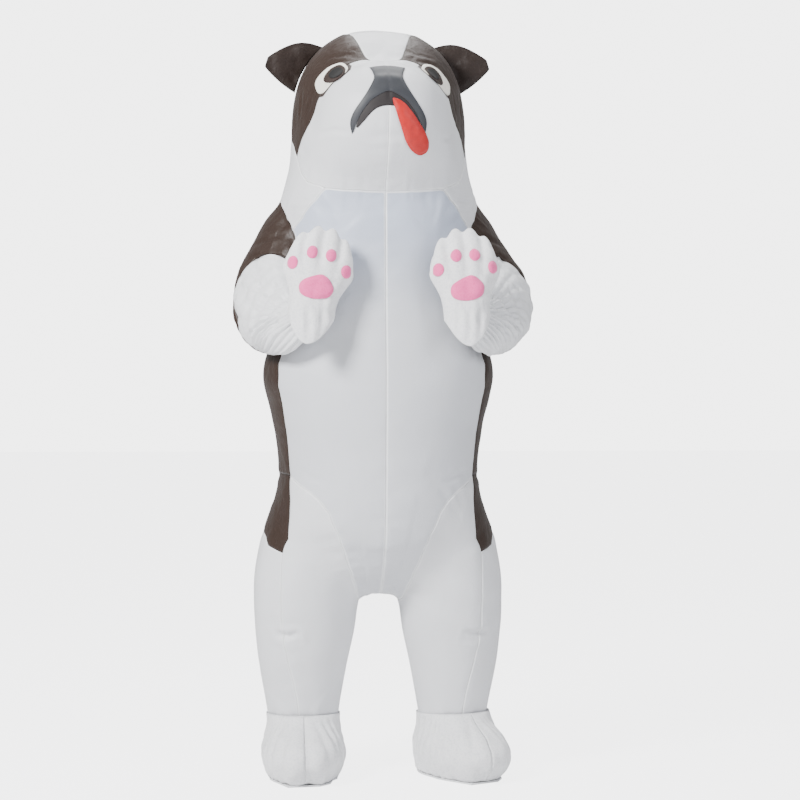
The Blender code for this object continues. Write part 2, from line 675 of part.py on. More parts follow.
def sleeve_rings():
    """The sleeve's rings of points from the armhole to the wrist, clear of the trunk."""
    rows = np.array(sleeve_rows)
    start = np.concatenate([loop_centre, (0.0, -0.130, 0.0), (-0.01, 0.0, 0.170)])
    spans = len(rows)
    fine = dense(np.vstack([start, rows]), spans * 40)
    rings = [arm_loop]
    for at in sleeve_stations:
        row = fine[int(round(at * 40))]
        ring = (row[:3] + np.outer(np.cos(loop_angle), row[3:6])
                + np.outer(np.sin(loop_angle), row[6:9]))
        share = max(0.0, 1 - at)
        rings.append(ring * (1 - share) + (arm_loop + row[:3] - loop_centre) * share)
    rings = np.array(rings)
    loose = rings[1:-1]
    for _ in range(sleeve_rounds):
        beside = rings[:-2] + rings[2:] + np.roll(loose, 1, axis=1) + np.roll(loose, -1, axis=1)
        loose[:] = 0.4 * loose + 0.6 * beside / 4
        flat = loose.reshape(-1, 3)
        push = np.clip(sleeve_clear - body_form(flat), 0, None)[:, None]
        loose += (push * outward(body_form, flat)).reshape(loose.shape)
    wave = np.cos(2 * math.pi * np.arange(rings.shape[1]) / gather_width)
    for at, deep in zip(range(-len(gather_deep), 0), gather_deep):
        way = rings[at] - rings[at].mean(axis=0)
        rings[at] += way / np.linalg.norm(way, axis=1)[:, None] * wave[:, None] * deep
    return rings


def let_out(rings, reach):
    """A sleeve's rings with its outer side let out at the elbow."""
    wide = np.abs(rings[..., 0])
    share = np.clip((wide - elbow_from) / elbow_run, 0, 1)
    low = np.clip(1 - ((rings[..., 2] - elbow_middle) / elbow_tall)**2, 0, 1)
    begin = np.clip(np.arange(len(rings)) / elbow_rows, 0, 1)[:, None]
    shift = np.sign(rings[..., 0]) * reach * share * low * begin
    return rings + shift[..., None] * np.array([1.0, 0, 0])


def tube_normals(rings):
    """Outward directions on a closed tube of rings."""
    along = np.gradient(rings, axis=0)
    round_it = np.roll(rings, -1, axis=1) - np.roll(rings, 1, axis=1)
    way = np.cross(along, round_it)
    way /= np.linalg.norm(way, axis=2)[..., None]
    out = rings - rings.mean(axis=1)[:, None]
    return way * np.sign((way * out).sum())


def tube(name, rings, ways, skin, thick):
    """A closed band of cloth through rings of points, its wall going inwards."""
    faces = grid_faces(*rings.shape[:2], closed=True)
    cloth(name, rings.reshape(-1, 3), faces, ways.reshape(-1, 3), skin, thick)


sleeve = flip(sleeve_rings())
for side, turn in (("right", 1), ("left", -1)):
    rings = let_out(sleeve if turn == 1 else flip(sleeve), elbow_reach[side])
    ways = tube_normals(rings)
    tube("sleeve_" + side, rings[:sleeve_seam + 1], ways[:sleeve_seam + 1], brown_cloth, cloth_wall)
    tube("forearm_" + side, rings[sleeve_seam:], ways[sleeve_seam:], white_cloth, cloth_wall)


def grid_normals(grid, away):
    """Outward directions on a grid of points: away is a direction on its outer side."""
    way = np.cross(np.gradient(grid, axis=0), np.gradient(grid, axis=1))
    way /= np.linalg.norm(way, axis=2)[..., None]
    return way * np.sign((way * np.array(away)).sum())


def glove_point(u, v, front):
    """A point of the glove's palm or back: u across it, v up it, both 0 to 1."""
    across = 2 * u - 1
    half = np.interp(v, *np.array(glove_width).T)
    hem = glove_hem[1] + (glove_hem[0 if front else 2] - glove_hem[1]) * (1 - across**2)
    lobe = np.abs(np.sin(glove_toes * math.pi * u))
    top = 0.060 + 0.072 * np.clip(1 - across**2, 0, 1) ** 0.6 + 0.017 * lobe**0.7
    full = np.clip(1 - np.abs(across) ** (2 + 1.5 * v), 0, 1) ** 0.5 * np.clip(1 - v**5, 0, 1) ** 0.5
    groove = 1 - 0.32 * np.clip((v - 0.55) / 0.3, 0, 1) * (1 - lobe)
    deep = (glove_deep + 0.008 * (1 - v) ** 2) * full * groove
    return np.stack([across * half, (-deep if front else deep), hem + (top - hem) * v], axis=-1)


def glove_uv(x, z):
    """Where a place on the palm lies across and up the glove."""
    u, v = 0.5, 0.5
    for _ in range(40):
        u = 0.5 + x / (2 * np.interp(v, *np.array(glove_width).T))
        low, high = glove_point(u, 0.0, True)[2], glove_point(u, 1.0, True)[2]
        v = (z - low) / (high - low)
    return u, v


def placed(points, place, turn):
    """Points of a glove turned about the depth axis and moved to where it is held."""
    a = math.radians(turn)
    x = points[..., 0] * math.cos(a) - points[..., 2] * math.sin(a)
    z = points[..., 0] * math.sin(a) + points[..., 2] * math.cos(a)
    return np.stack([x, points[..., 1], z], axis=-1) + np.array(place)


def rim_shared(one, two, grid, thin):
    """Two facing panels' directions, made the same and square to the seam's edge on their seam."""
    every = slice(None)
    sides = (((every, 0), (every, 1), (-1.0, 0.0)), ((every, -1), (every, -2), (1.0, 0.0)),
             ((-1, every), (-2, every), (0.0, 1.0)))
    for rim, beside, (out_x, out_z) in sides:
        mean = (one[rim] + two[rim]) / 2 * np.array([1.0, 0.0, 1.0])
        if thin:
            mean = np.cross(np.gradient(grid[rim], axis=0), (0.0, 1.0, 0.0)) * np.array([1.0, 0.0, 1.0])
            mean *= np.sign((mean * (grid[rim] - grid[beside])).sum())
        elif out_x:
            mean[:, 0] = out_x * np.maximum(out_x * mean[:, 0], 0.2)
        else:
            mean[:, 2] = np.maximum(mean[:, 2], 0.2)
        mean /= np.linalg.norm(mean, axis=1)[:, None]
        one[rim], two[rim] = mean, mean


def turned(ways, turn):
    return placed(ways, (0, 0, 0), turn)


def disc(name, middle, outline, surface, skin, lift, thick, rings, hole=0.0):
    """A patch that lies on a surface: rings of points from its middle out to its outline."""
    outline = np.array(outline, float)
    flat, faces = [], []
    n = len(outline)
    start = 0 if hole else 1
    if not hole:
        flat.append(middle)
        faces += [(0, 1 + j, 1 + (j + 1) % n) for j in range(n)]
    for k in range(rings + (1 if hole else 0)):
        share = hole + (1 - hole) * k / rings if hole else (k + 1) / rings
        flat += list(np.array(middle) + (outline - np.array(middle)) * share)
        if k > 0:
            low, high = start + (k - 1) * n, start + k * n
            faces += [(low + j, high + j, high + (j + 1) % n, low + (j + 1) % n) for j in range(n)]
    points, ways = surface(np.array(flat, float))
    cloth(name, points + ways * (lift + thick), faces, ways, skin, thick)


def tree_of(objects):
    """The outer and inner skins of some panels, to lay patches on."""
    points, faces = [], []
    for made in objects:
        start = len(points)
        points += [v.co.copy() for v in made.data.vertices]
        faces += [[start + v for v in f.vertices] for f in made.data.polygons]
    return BVHTree.FromPolygons(points, faces)


def landed(tree, points, way):
    """Points moved along way onto the outer skin they are next to."""
    way = Vector(way)
    found = []
    for point in points:
        low = Vector(point) - Vector((0, 0, shoulder_height))
        hit = tree.ray_cast(low - way * 0.05, way, 0.1)[0]
        near = hit is not None and (hit - low).length < land_reach
        found.append(np.array(hit) + np.array([0, 0, shoulder_height]) if near else point)
    return np.array(found)


def oval(middle, size, count, turn=0.0):
    a = np.linspace(0, 2 * math.pi, count, endpoint=False)
    t = math.radians(turn)
    x, z = size[0] * np.cos(a), size[1] * np.sin(a)
    return np.stack([middle[0] + x * math.cos(t) - z * math.sin(t),
                     middle[1] + x * math.sin(t) + z * math.cos(t)], axis=1)


# Gloves
for side, (place, turn) in glove_places.items():
    v, u = np.meshgrid(np.linspace(0, 1, glove_rows + 1), np.linspace(0, 1, glove_columns + 1),
                       indexing="ij")
    palm, back = glove_point(u, v, True), glove_point(u, v, False)
    palm_way, back_way = grid_normals(palm, (0, -1, 0)), grid_normals(back, (0, 1, 0))
    rim_shared(palm_way, back_way, palm, False)
    made = {}
    for part, grid, ways in (("palm", palm, palm_way), ("back", back, back_way)):
        points, spread = placed(grid, place, turn), turned(ways, turn)
        made[part] = cloth("glove_" + part + "_" + side, points.reshape(-1, 3),
                           grid_faces(*grid.shape[:2]), spread.reshape(-1, 3), plush, plush_wall)
    palm_tree = tree_of([made["palm"]])

    def palm_surface(flat):
        found, ways = [], []
        for x, z in flat:
            u, v = glove_uv(x, z)
            step = 0.01
            along = glove_point(u + step, v, True) - glove_point(u - step, v, True)
            up = glove_point(u, v + step, True) - glove_point(u, v - step, True)
            way = np.cross(along, up)
            found.append(glove_point(u, v, True))
            ways.append(way / np.linalg.norm(way) * np.sign(-way[1]))
        points = placed(np.array(found), place, turn)
        return landed(palm_tree, points, (0, 1, 0)), turned(np.array(ways), turn)

    pad_edge = evenly([*palm_pad, palm_pad[0]], pad_count)[:-1]
    disc("palm_pad_" + side, (0.0, 0.0), pad_edge, palm_surface, pink_plush, pad_lift, pad_wall, 2)
    for k, middle in enumerate(toe_pads):
        disc("toe_pad_" + side + "_" + str(k + 1), middle, oval(middle, toe_pad_size, toe_pad_count),
             palm_surface, pink_plush, pad_lift, pad_wall, 1)


# Boots
def boot_field(side):
    sign = 1 if side == "left" else -1
    turn = math.radians(boot_turns[side])

    def field(p):
        q = p - np.array([sign * ankle[0], ankle[1], 0.0])
        x = q[:, 0] * math.cos(turn) + q[:, 1] * math.sin(turn)
        y = -q[:, 0] * math.sin(turn) + q[:, 1] * math.cos(turn)
        local = np.stack([x, y + ankle[1], q[:, 2]], axis=1)
        bearing = np.degrees(np.arctan2(x, -(y + 0.03)))
        shape = ((0.0, boot_middle[1], boot_middle[2]), boot_radii, boot_power)
        form = lump(local, shape)
        for middle, wide, deep in boot_pleats:
            form = form + deep * np.exp(-((bearing - middle) / wide) ** 2)
        return round_blend(form, leg(p, sign) - boot_slack, 0.025)
    return field


for side in ("left", "right"):
    sign = 1 if side == "left" else -1
    turn = math.radians(boot_turns[side])
    field = boot_field(side)
    heights = np.linspace(boot_top, boot_bottom, boot_rows + 1)
    grid = []
    for k, h in enumerate(heights):
        bearings = np.linspace(0, 2 * math.pi, 2 * boot_columns, endpoint=False)
        bend = k / boot_rows
        middle = np.array([sign * ankle[0], ankle[1], 0.0])
        shift = np.array([math.sin(turn), -math.cos(turn), 0.0]) * 0.035 * bend
        start = np.tile(middle + shift, (len(bearings), 1))
        start[:, 2] = h + (0.004 * np.cos(bearings) if k == 0 else 0.0)
        a = bearings + turn
        way = np.stack([np.sin(a), -np.cos(a), np.zeros(len(a))], axis=1)
        grid.append(shoot(field, start, way, 0.3))
    grid = np.array(grid)
    ways = outward(field, grid.reshape(-1, 3)).reshape(grid.shape)
    ways[-1, :, 2] = np.maximum(ways[-1, :, 2], -0.3)
    ways /= np.linalg.norm(ways, axis=2)[..., None]
    parts = ("outer", "inner") if side == "left" else ("inner", "outer")
    for part, first in zip(parts, (0, boot_columns)):
        picks = [(first + j) % (2 * boot_columns) for j in range(boot_columns + 1)]
        cloth("boot_" + part + "_" + side, grid[:, picks].reshape(-1, 3),
              grid_faces(boot_rows + 1, len(picks)), ways[:, picks].reshape(-1, 3), plush, plush_wall)
    hem = grid[-1] * np.array([1.0, 1.0, 0.0])

    def floor_surface(flat):
        points = np.column_stack([flat, np.full(len(flat), 0.0)])
        return points, np.tile((0.0, 0.0, 1.0), (len(flat), 1))

    disc("sole_" + side, tuple(hem[:, :2].mean(axis=0)), hem[:, :2], floor_surface, grey_cloth, 0.0,
         sole_wall, 2)


# Ears
def ear_grid(front):
    """The ear's front or back: rows from its base to its tip, columns from its top edge down."""
    across = np.linspace(0, 1, ear_columns + 1)
    base = settle(body_form, np.linspace(ear_top, ear_foot, ear_columns + 1), level=ear_clear)
    tips = np.array(ear_tip) + np.outer(across - 0.5, np.array([0.008, 0, -0.026]))
    rows = []
    for i in range(ear_rows + 1):
        along = i / ear_rows
        row = base * (1 - along) + tips * along
        bow = math.sin(math.pi * along)
        bulge = np.where(across < 0.5, ear_bulge_top, ear_bulge_low)
        row += np.outer((across - 0.5) * bulge * bow, np.array([0.35, 0, -2.0]))
        puff = ear_puff * (1 - 0.55 * along) * (1 - (2 * across - 1) ** 2) ** 0.5
        puff = puff if i < ear_rows else puff * 0
        row[:, 1] += (-puff if front else puff)
        rows.append(row)
    return np.array(rows)


front_ear, back_ear = ear_grid(True), ear_grid(False)
front_way, back_way = grid_normals(front_ear, (0, -1, 0)), grid_normals(back_ear, (0, 1, 0))
rim_shared(front_way, back_way, front_ear, True)
for part, grid, ways in (("front", front_ear, front_way), ("back", back_ear, back_way)):
    for side in ("left", "right"):
        points, spread = (grid, ways) if side == "left" else (flip(grid), flip(ways))
        cloth("ear_" + part + "_" + side, points.reshape(-1, 3), grid_faces(*grid.shape[:2]),
              spread.reshape(-1, 3), brown_cloth, cloth_wall)


# Face
head_tree = tree_of([made for made in bpy.data.objects if made.name.startswith(("cheek", "hood", "blaze"))])
back_tree = tree_of([made for made in bpy.data.objects if made.name.startswith("back")])


def face_surface(flat):
    start = np.stack([flat[:, 0], np.zeros(len(flat)), flat[:, 1]], axis=1)
    points = shoot(body_form, start, (0, -1, 0))
    return landed(head_tree, points, (0, 1, 0)), outward(body_form, points)


def strip(name, one, two, count, rows, skin, lift, surface=face_surface, smooth=False):
    """A patch on the face between two lines that run the same way."""
    one, two = evenly(one, count, smooth), evenly(two, count, smooth)
    share = np.linspace(0, 1, rows + 1)[:, None, None]
    grid = one[None] * (1 - share) + two[None] * share
    points, ways = surface(grid.reshape(-1, grid.shape[2]))
    cloth(name, points + ways * (lift + patch_wall), grid_faces(rows + 1, count + 1), ways, skin,
          patch_wall)


def whole(line):
    """A line given on one side of the face, carried across to the other."""
    line = np.array(line, float)
    return np.vstack([line, line[::-1][1:] * np.array([-1.0, 1.0])])


def nose_patch():
    """The nose: a bridge that parts over the mouth into a lip on either side."""
    inner = np.vstack([evenly(((0.0, 1.7195), (0.0, 1.6515)), bridge_count, False),
                       evenly([(0.0, 1.6515), *lip_arch[::-1][1:-1], (0.0800, 1.5600)], lip_count,
                              False)[1:]])
    outer = evenly([(0.0427, 1.7130), *nose_outline[::-1][1:]], bridge_count + lip_count, False)
    outer[0] = (0.0427, 1.7140)
    share = np.linspace(0, 1, 3)[None, :, None]
    half = inner[:, None] * (1 - share) + outer[:, None] * share
    columns = half.shape[1]
    flat = list(half.reshape(-1, 2))
    right = grid_faces(len(half), columns)
    left_of = {}
    for k, point in enumerate(list(flat)):
        if abs(point[0]) < 1e-6:
            left_of[k] = k
        else:
            left_of[k] = len(flat)
            flat.append(point * np.array([-1.0, 1.0]))
    faces = right + [tuple(left_of[v] for v in f[::-1]) for f in right]
    points, ways = face_surface(np.array(flat))
    cloth("nose", points + ways * (patch_lift + patch_wall), faces, ways, grey_cloth, patch_wall)


nose_patch()
strip("mouth", whole(mouth_top), whole(mouth_bottom), 16, 1, dark_cloth, patch_lift)
strip("tongue", tongue_left, tongue_right, 7, 2, red_cloth, tongue_lift, smooth=True)
for side, sign in (("left", 1), ("right", -1)):
    across = np.array([sign, 1.0])
    middle = (0.126 * sign, 1.708)
    disc("eye_" + side, middle, evenly(list(eye_outline) + [eye_outline[0]], 16)[:-1] * across,
         face_surface, eye_white, patch_lift, patch_wall, 2)
    for name, shape, skin, lift in (("iris_", iris_shape, brown_iris, iris_lift),
                                    ("pupil_", pupil_shape, black_cloth, pupil_lift)):
        x, h, wide, high, tilt = shape
        disc(name + side, (x * sign, h), oval((x, h), (wide, high), 12, -tilt) * across,
             face_surface, skin, lift, patch_wall, 1)


# Zip and fan on the back
def back_surface(flat):
    start = np.stack([flat[:, 0], np.zeros(len(flat)), flat[:, 1]], axis=1)
    points = shoot(body_form, start, (0, 1, 0))
    return landed(back_tree, points, (0, -1, 0)), outward(body_form, points)


strip("zip", ((-zip_half, zip_top), (-zip_half, zip_bottom)), ((zip_half, zip_top), (zip_half, zip_bottom)),
      14, 2, brown_cloth, zip_lift, back_surface)
slider_middle = (0.0, zip_top - 0.020)
slider_edge = np.array(slider_middle) + np.array(slider_outline)
disc("zip_slider", slider_middle, slider_edge, back_surface, black_plastic, slider_lift, slider_wall, 1)
fan_turn, fan_height = fan_place
fan_middle = (round_body([fan_turn], [fan_height])[0, 0], fan_height)
inner, outer = fan_radii
disc("fan_ring", fan_middle, oval(fan_middle, (outer, outer), fan_count), back_surface, black_plastic,
     ring_lift, fan_ring_wall, 1, inner / outer)
guard = inner - guard_clear
disc("fan_guard", fan_middle, oval(fan_middle, (guard, guard), fan_count), back_surface, black_plastic,
     guard_lift, guard_wall, 1)
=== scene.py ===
import math

import bmesh
import bpy
import numpy as np
from mathutils import Matrix, Vector, kdtree, noise
from mathutils.bvhtree import BVHTree


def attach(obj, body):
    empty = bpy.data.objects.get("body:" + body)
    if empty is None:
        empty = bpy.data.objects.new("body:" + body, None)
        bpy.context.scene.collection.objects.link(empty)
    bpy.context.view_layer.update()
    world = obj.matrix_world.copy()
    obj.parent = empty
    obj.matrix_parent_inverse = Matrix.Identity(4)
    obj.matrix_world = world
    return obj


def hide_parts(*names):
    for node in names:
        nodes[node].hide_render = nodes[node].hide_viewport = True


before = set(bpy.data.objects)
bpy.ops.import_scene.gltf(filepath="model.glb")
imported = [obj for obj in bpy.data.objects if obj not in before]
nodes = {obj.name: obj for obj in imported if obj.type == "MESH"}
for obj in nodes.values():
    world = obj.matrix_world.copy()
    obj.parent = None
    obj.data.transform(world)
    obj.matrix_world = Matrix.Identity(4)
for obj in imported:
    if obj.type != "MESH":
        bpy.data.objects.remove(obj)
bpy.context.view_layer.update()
print("frame loaded,", len(nodes), "solids")


def hexColour(text):
    # sRGB hex to linear
    parts = [int(text[i:i + 2], 16) / 255 for i in (1, 3, 5)]
    return [p / 12.92 if p <= 0.04045 else ((p + 0.055) / 1.055) ** 2.4 for p in parts] + [1.0]


def addNode(tree, kind, inputs=None, **settings):
    # a node with its settings; an input given as a socket is linked, otherwise set
    node = tree.nodes.new(kind)
    for key, value in settings.items():
        setattr(node, key, value)
    for key, value in (inputs or {}).items():
        if isinstance(value, bpy.types.NodeSocket):
            tree.links.new(value, node.inputs[key])
        else:
            node.inputs[key].default_value = value
    return node


def perMetre(millimetres):
    # noise scale for a pattern this many millimetres across
    return 1000.0 / millimetres


cloths = {
    # colour, colour high on the chest (partly painted shade, partly the dark inside seen through the thin
    # cloth), colour over the seam allowance and how far that reaches
    "nylonTaffetaWhite": dict(colour="#E2E3E6", chestShadeAndSeeThrough="#E2E3E6", seam="#F2F3F4", reach=0.0040, rough=0.46,
                              sheen=0.15, crumple=0.7, size=34, slot="white_taffeta"),
    "nylonTaffetaCheek": dict(colour="#E2E3E6", chestShadeAndSeeThrough="#E2E3E6", seam="#F2F3F4", reach=0.0040, rough=0.46,
                              sheen=0.15, crumple=0.7, size=34, slot="white_taffeta", rim="#2E211A"),
    # the window's chest colour is partly painted shade and partly the dark inside seen through the thin cloth
    "nylonTaffetaWindow": dict(colour="#D5D7DC", chestShadeAndSeeThrough="#BFC7D8", seam="#F0F1F3", reach=0.0042, rough=0.40,
                               sheen=0.15, crumple=0.6, size=46, slot="white_taffeta"),
    "nylonTaffetaBrown": dict(colour="#2E211A", chestShadeAndSeeThrough="#2E211A", seam="#261B16", reach=0.0035, rough=0.46,
                              sheen=0.05, crumple=1.2, size=26, slot="brown_taffeta"),
    "nylonTaffetaEar": dict(colour="#251A15", chestShadeAndSeeThrough="#251A15", seam="#1E1511", reach=0.0035, rough=0.50,
                            sheen=0.05, crumple=1.2, size=22, slot="brown_taffeta"),
    "nylonTaffetaSleeve": dict(colour="#E9EAEC", chestShadeAndSeeThrough="#E9EAEC", seam="#F2F3F4", reach=0.0035, rough=0.40,
                               sheen=0.2, crumple=1.6, size=18, slot="white_taffeta"),
}
eyeRim = 0.0095  # the brown goes on this far round each eye
chestFade = (-0.28, 0.02)  # heights in the frame between which the lower colour gives way to the chest colour, which is partly painted shade and partly the dark inside seen through the cloth


def clothMaterial(name, colour, chestShadeAndSeeThrough, seam, reach, rough, sheen, crumple, size, slot, rim=None):
    # calendered polyester taffeta: thin, faint gloss, paler where the seam allowance lies behind it
    made = bpy.data.materials.new(name)
    made.use_nodes = True
    tree = made.node_tree
    shader = tree.nodes["Principled BSDF"]
    place = addNode(tree, "ShaderNodeTexCoord").outputs["Object"]
    near = addNode(tree, "ShaderNodeAttribute", attribute_name="seamDistance").outputs["Fac"]
    edge = addNode(tree, "ShaderNodeMapRange",
                   {"Value": near, "From Min": reach * 0.6, "From Max": reach * 1.25,
                    "To Min": 0.85, "To Max": 0.0},
                   interpolation_type="SMOOTHSTEP")
    # painted shade: the colour shifts to the chest colour higher up the panel, partly standing for shade and
    # partly for the dark inside showing through
    height = addNode(tree, "ShaderNodeSeparateXYZ", {"Vector": place}).outputs["Z"]
    high = addNode(tree, "ShaderNodeMapRange",
                   {"Value": height, "From Min": chestFade[0], "From Max": chestFade[1]},
                   interpolation_type="SMOOTHSTEP")
    chestShadedColour = addNode(tree, "ShaderNodeMix", data_type="RGBA")
    chestShadedColour.inputs["A"].default_value = hexColour(colour)
    chestShadedColour.inputs["B"].default_value = hexColour(chestShadeAndSeeThrough)
    tree.links.new(high.outputs["Result"], chestShadedColour.inputs["Factor"])
    cloud = addNode(tree, "ShaderNodeTexNoise", {"Vector": place, "Scale": perMetre(260), "Detail": 2.0})
    shade = addNode(tree, "ShaderNodeMapRange",
                    {"Value": cloud.outputs["Fac"], "From Min": 0.35, "From Max": 0.65,
                     "To Min": 0.955, "To Max": 1.03})
    base = addNode(tree, "ShaderNodeMix", data_type="RGBA")
    tree.links.new(chestShadedColour.outputs["Result"], base.inputs["A"])
    base.inputs["B"].default_value = hexColour(seam)
    tree.links.new(edge.outputs["Result"], base.inputs["Factor"])
    tone = addNode(tree, "ShaderNodeMix", data_type="RGBA", blend_type="MULTIPLY")
    tone.inputs["Factor"].default_value = 1.0
    if rim:
        beside = addNode(tree, "ShaderNodeAttribute", attribute_name="eyeDistance").outputs["Fac"]
        inside = addNode(tree, "ShaderNodeMapRange",
                         {"Value": beside, "From Min": eyeRim - 0.0006, "From Max": eyeRim + 0.0006,
                          "To Min": 1.0, "To Max": 0.0})
        ringed = addNode(tree, "ShaderNodeMix", data_type="RGBA")
        ringed.inputs["B"].default_value = hexColour(rim)
        tree.links.new(base.outputs["Result"], ringed.inputs["A"])
        tree.links.new(inside.outputs["Result"], ringed.inputs["Factor"])
        base = ringed
    tree.links.new(base.outputs["Result"], tone.inputs["A"])
    tree.links.new(shade.outputs["Result"], tone.inputs["B"])
    tree.links.new(tone.outputs["Result"], shader.inputs["Base Color"])
    ripple = addNode(tree, "ShaderNodeTexNoise", {"Vector": place, "Scale": perMetre(size), "Detail": 3.0,
                                                   "Roughness": 0.55, "Distortion": 0.6})
    bump = addNode(tree, "ShaderNodeBump", {"Height": ripple.outputs["Fac"], "Strength": 0.5,
                                             "Distance": crumple * 0.004})
    tree.links.new(bump.outputs["Normal"], shader.inputs["Normal"])
    shader.inputs["Roughness"].default_value = rough
    shader.inputs["Specular IOR Level"].default_value = 0.35
    shader.inputs["Sheen Weight"].default_value = sheen
    shader.inputs["Sheen Roughness"].default_value = 0.4
    made["slotName"] = slot
    return made


plushes = {
    # colour, darker colour between the tufts that is painted shade, tuft size in mm
    "shortPlushWhite": dict(colour="#F4F4F5", deep="#E2E3E6", tuft=5.0, height=0.0014, slot="white_plush"),
    "shortPlushPink": dict(colour="#FB64A6", deep="#F25396", tuft=4.0, height=0.0009, slot="pink_plush"),
}


def plushMaterial(name, colour, deep, tuft, height, slot):
    # knitted polyester pile, 2 to 3 mm long: matt, bright at its edge, shade between the tufts
    made = bpy.data.materials.new(name)
    made.use_nodes = True
    tree = made.node_tree
    shader = tree.nodes["Principled BSDF"]
    place = addNode(tree, "ShaderNodeTexCoord").outputs["Object"]
    tufts = addNode(tree, "ShaderNodeTexNoise", {"Vector": place, "Scale": perMetre(tuft), "Detail": 4.0,
                                                  "Roughness": 0.6, "Distortion": 0.5})
    # painted shade: the colour darkens in the low spots of the noise that also makes the tufts' bump
    tone = addNode(tree, "ShaderNodeMix", data_type="RGBA")
    tone.inputs["A"].default_value = hexColour(deep)
    tone.inputs["B"].default_value = hexColour(colour)
    lift = addNode(tree, "ShaderNodeMapRange",
                   {"Value": tufts.outputs["Fac"], "From Min": 0.32, "From Max": 0.55})
    tree.links.new(lift.outputs["Result"], tone.inputs["Factor"])
    tree.links.new(tone.outputs["Result"], shader.inputs["Base Color"])
    bump = addNode(tree, "ShaderNodeBump",
                   {"Height": tufts.outputs["Fac"], "Strength": 0.7, "Distance": height})
    tree.links.new(bump.outputs["Normal"], shader.inputs["Normal"])
    shader.inputs["Roughness"].default_value = 0.95
    shader.inputs["Sheen Weight"].default_value = 0.6
    shader.inputs["Sheen Roughness"].default_value = 0.5
    made["slotName"] = slot
    return made


plains = {
    # woven polyester for the sewn-on face pieces, and moulded plastic
    "wovenGrey": dict(colour="#2F3136", rough=0.55, sheen=0.1, grain=1.2, slot="grey_cloth"),
    # the mouth piece's dark colour is partly its own cloth and partly painted shade from the lip that
    # overhangs it
    "wovenDarkWithShade": dict(colour="#1F191A", rough=0.6, sheen=0.05, grain=1.2, slot="dark_cloth"),
    "wovenRed": dict(colour="#BE0A04", rough=0.5, sheen=0.2, grain=9.0, slot="red_cloth"),
    "wovenCream": dict(colour="#F3EFE4", rough=0.55, sheen=0.15, grain=1.2, slot="eye_white"),
    "wovenIris": dict(colour="#26160F", rough=0.85, sheen=0.0, grain=1.2, slot="brown_iris"),
    "wovenBlack": dict(colour="#050404", rough=0.9, sheen=0.0, grain=1.2, slot="black_cloth"),
    "mouldedNylonBlack": dict(colour="#17181A", rough=0.4, sheen=0.0, grain=0.6, slot="black_plastic"),
    "zipTape": dict(colour="#463731", rough=0.7, sheen=0.1, grain=0.8, slot="brown_taffeta"),
    "hemBinding": dict(colour="#E4E5E7", rough=0.7, sheen=0.1, grain=1.0, slot="grey_cloth"),
}


def plainMaterial(name, colour, rough, sheen, grain, slot):
    made = bpy.data.materials.new(name)
    made.use_nodes = True
    tree = made.node_tree
    shader = tree.nodes["Principled BSDF"]
    place = addNode(tree, "ShaderNodeTexCoord").outputs["Object"]
    fine = addNode(tree, "ShaderNodeTexNoise", {"Vector": place, "Scale": perMetre(grain), "Detail": 2.0})
    tone = addNode(tree, "ShaderNodeMix", data_type="RGBA", blend_type="MULTIPLY")
    tone.inputs["Factor"].default_value = 1.0
    tone.inputs["A"].default_value = hexColour(colour)
    spread = addNode(tree, "ShaderNodeMapRange",
                     {"Value": fine.outputs["Fac"], "To Min": 0.88, "To Max": 1.1})
    tree.links.new(spread.outputs["Result"], tone.inputs["B"])
    tree.links.new(tone.outputs["Result"], shader.inputs["Base Color"])
    bump = addNode(tree, "ShaderNodeBump", {"Height": fine.outputs["Fac"], "Strength": 0.4,
                                             "Distance": grain * 0.0001})
    tree.links.new(bump.outputs["Normal"], shader.inputs["Normal"])
    shader.inputs["Roughness"].default_value = rough
    if sheen:
        shader.inputs["Sheen Weight"].default_value = sheen
    made["slotName"] = slot
    return made


looks = {}
for name, facts in cloths.items():
    looks[name] = clothMaterial(name, **facts)
for name, facts in plushes.items():
    looks[name] = plushMaterial(name, **facts)
for name, facts in plains.items():
    looks[name] = plainMaterial(name, **facts)
print("materials made,", len(looks))


walls = (0.0020, 0.0028, 0.0012, 0.0025)  # the solids' wall thicknesses


def outerSkin(node, inside):
    # a copy of the solid's outer face: the narrow rim goes, then the skin that looks away from inside stays
    bm = bmesh.new()
    bm.from_mesh(nodes[node].data)
    bmesh.ops.remove_doubles(bm, verts=bm.verts, dist=0.00002)
    bm.normal_update()
    rim = set()
    for e in bm.edges:
        long = e.calc_length()
        if any(abs(long - w) < 0.000012 for w in walls):
            across = (e.verts[1].co - e.verts[0].co).normalized()
            flat = [abs(across.dot(f.normal)) for f in e.link_faces]
            if max(flat) < 0.35:
                rim |= set(e.link_faces)
    bmesh.ops.delete(bm, geom=list(rim), context="FACES_ONLY")
    bmesh.ops.delete(bm, geom=[e for e in bm.edges if not e.link_faces], context="EDGES")
    bm.faces.ensure_lookup_table()
    left, groups = set(bm.faces), []
    while left:
        group, todo = set(), [left.pop()]
        while todo:
            f = todo.pop()
            group.add(f)
            for e in f.edges:
                for g in e.link_faces:
                    if g in left:
                        left.discard(g)
                        todo.append(g)
        groups.append(group)
    groups = sorted(groups, key=lambda g: -sum(f.calc_area() for f in g))[:2]
    middle = Vector(inside(bm) if callable(inside) else inside)
    facing = [sum((f.calc_center_median() - middle).dot(f.normal) * f.calc_area() for f in g) for g in groups]
    keep = groups[0] if facing[0] > facing[-1] else groups[-1]
    bmesh.ops.delete(bm, geom=[f for f in bm.faces if f not in keep], context="FACES")
    return bm


def middleOf(bm):
    return sum((v.co for v in bm.verts), Vector()) / len(bm.verts)


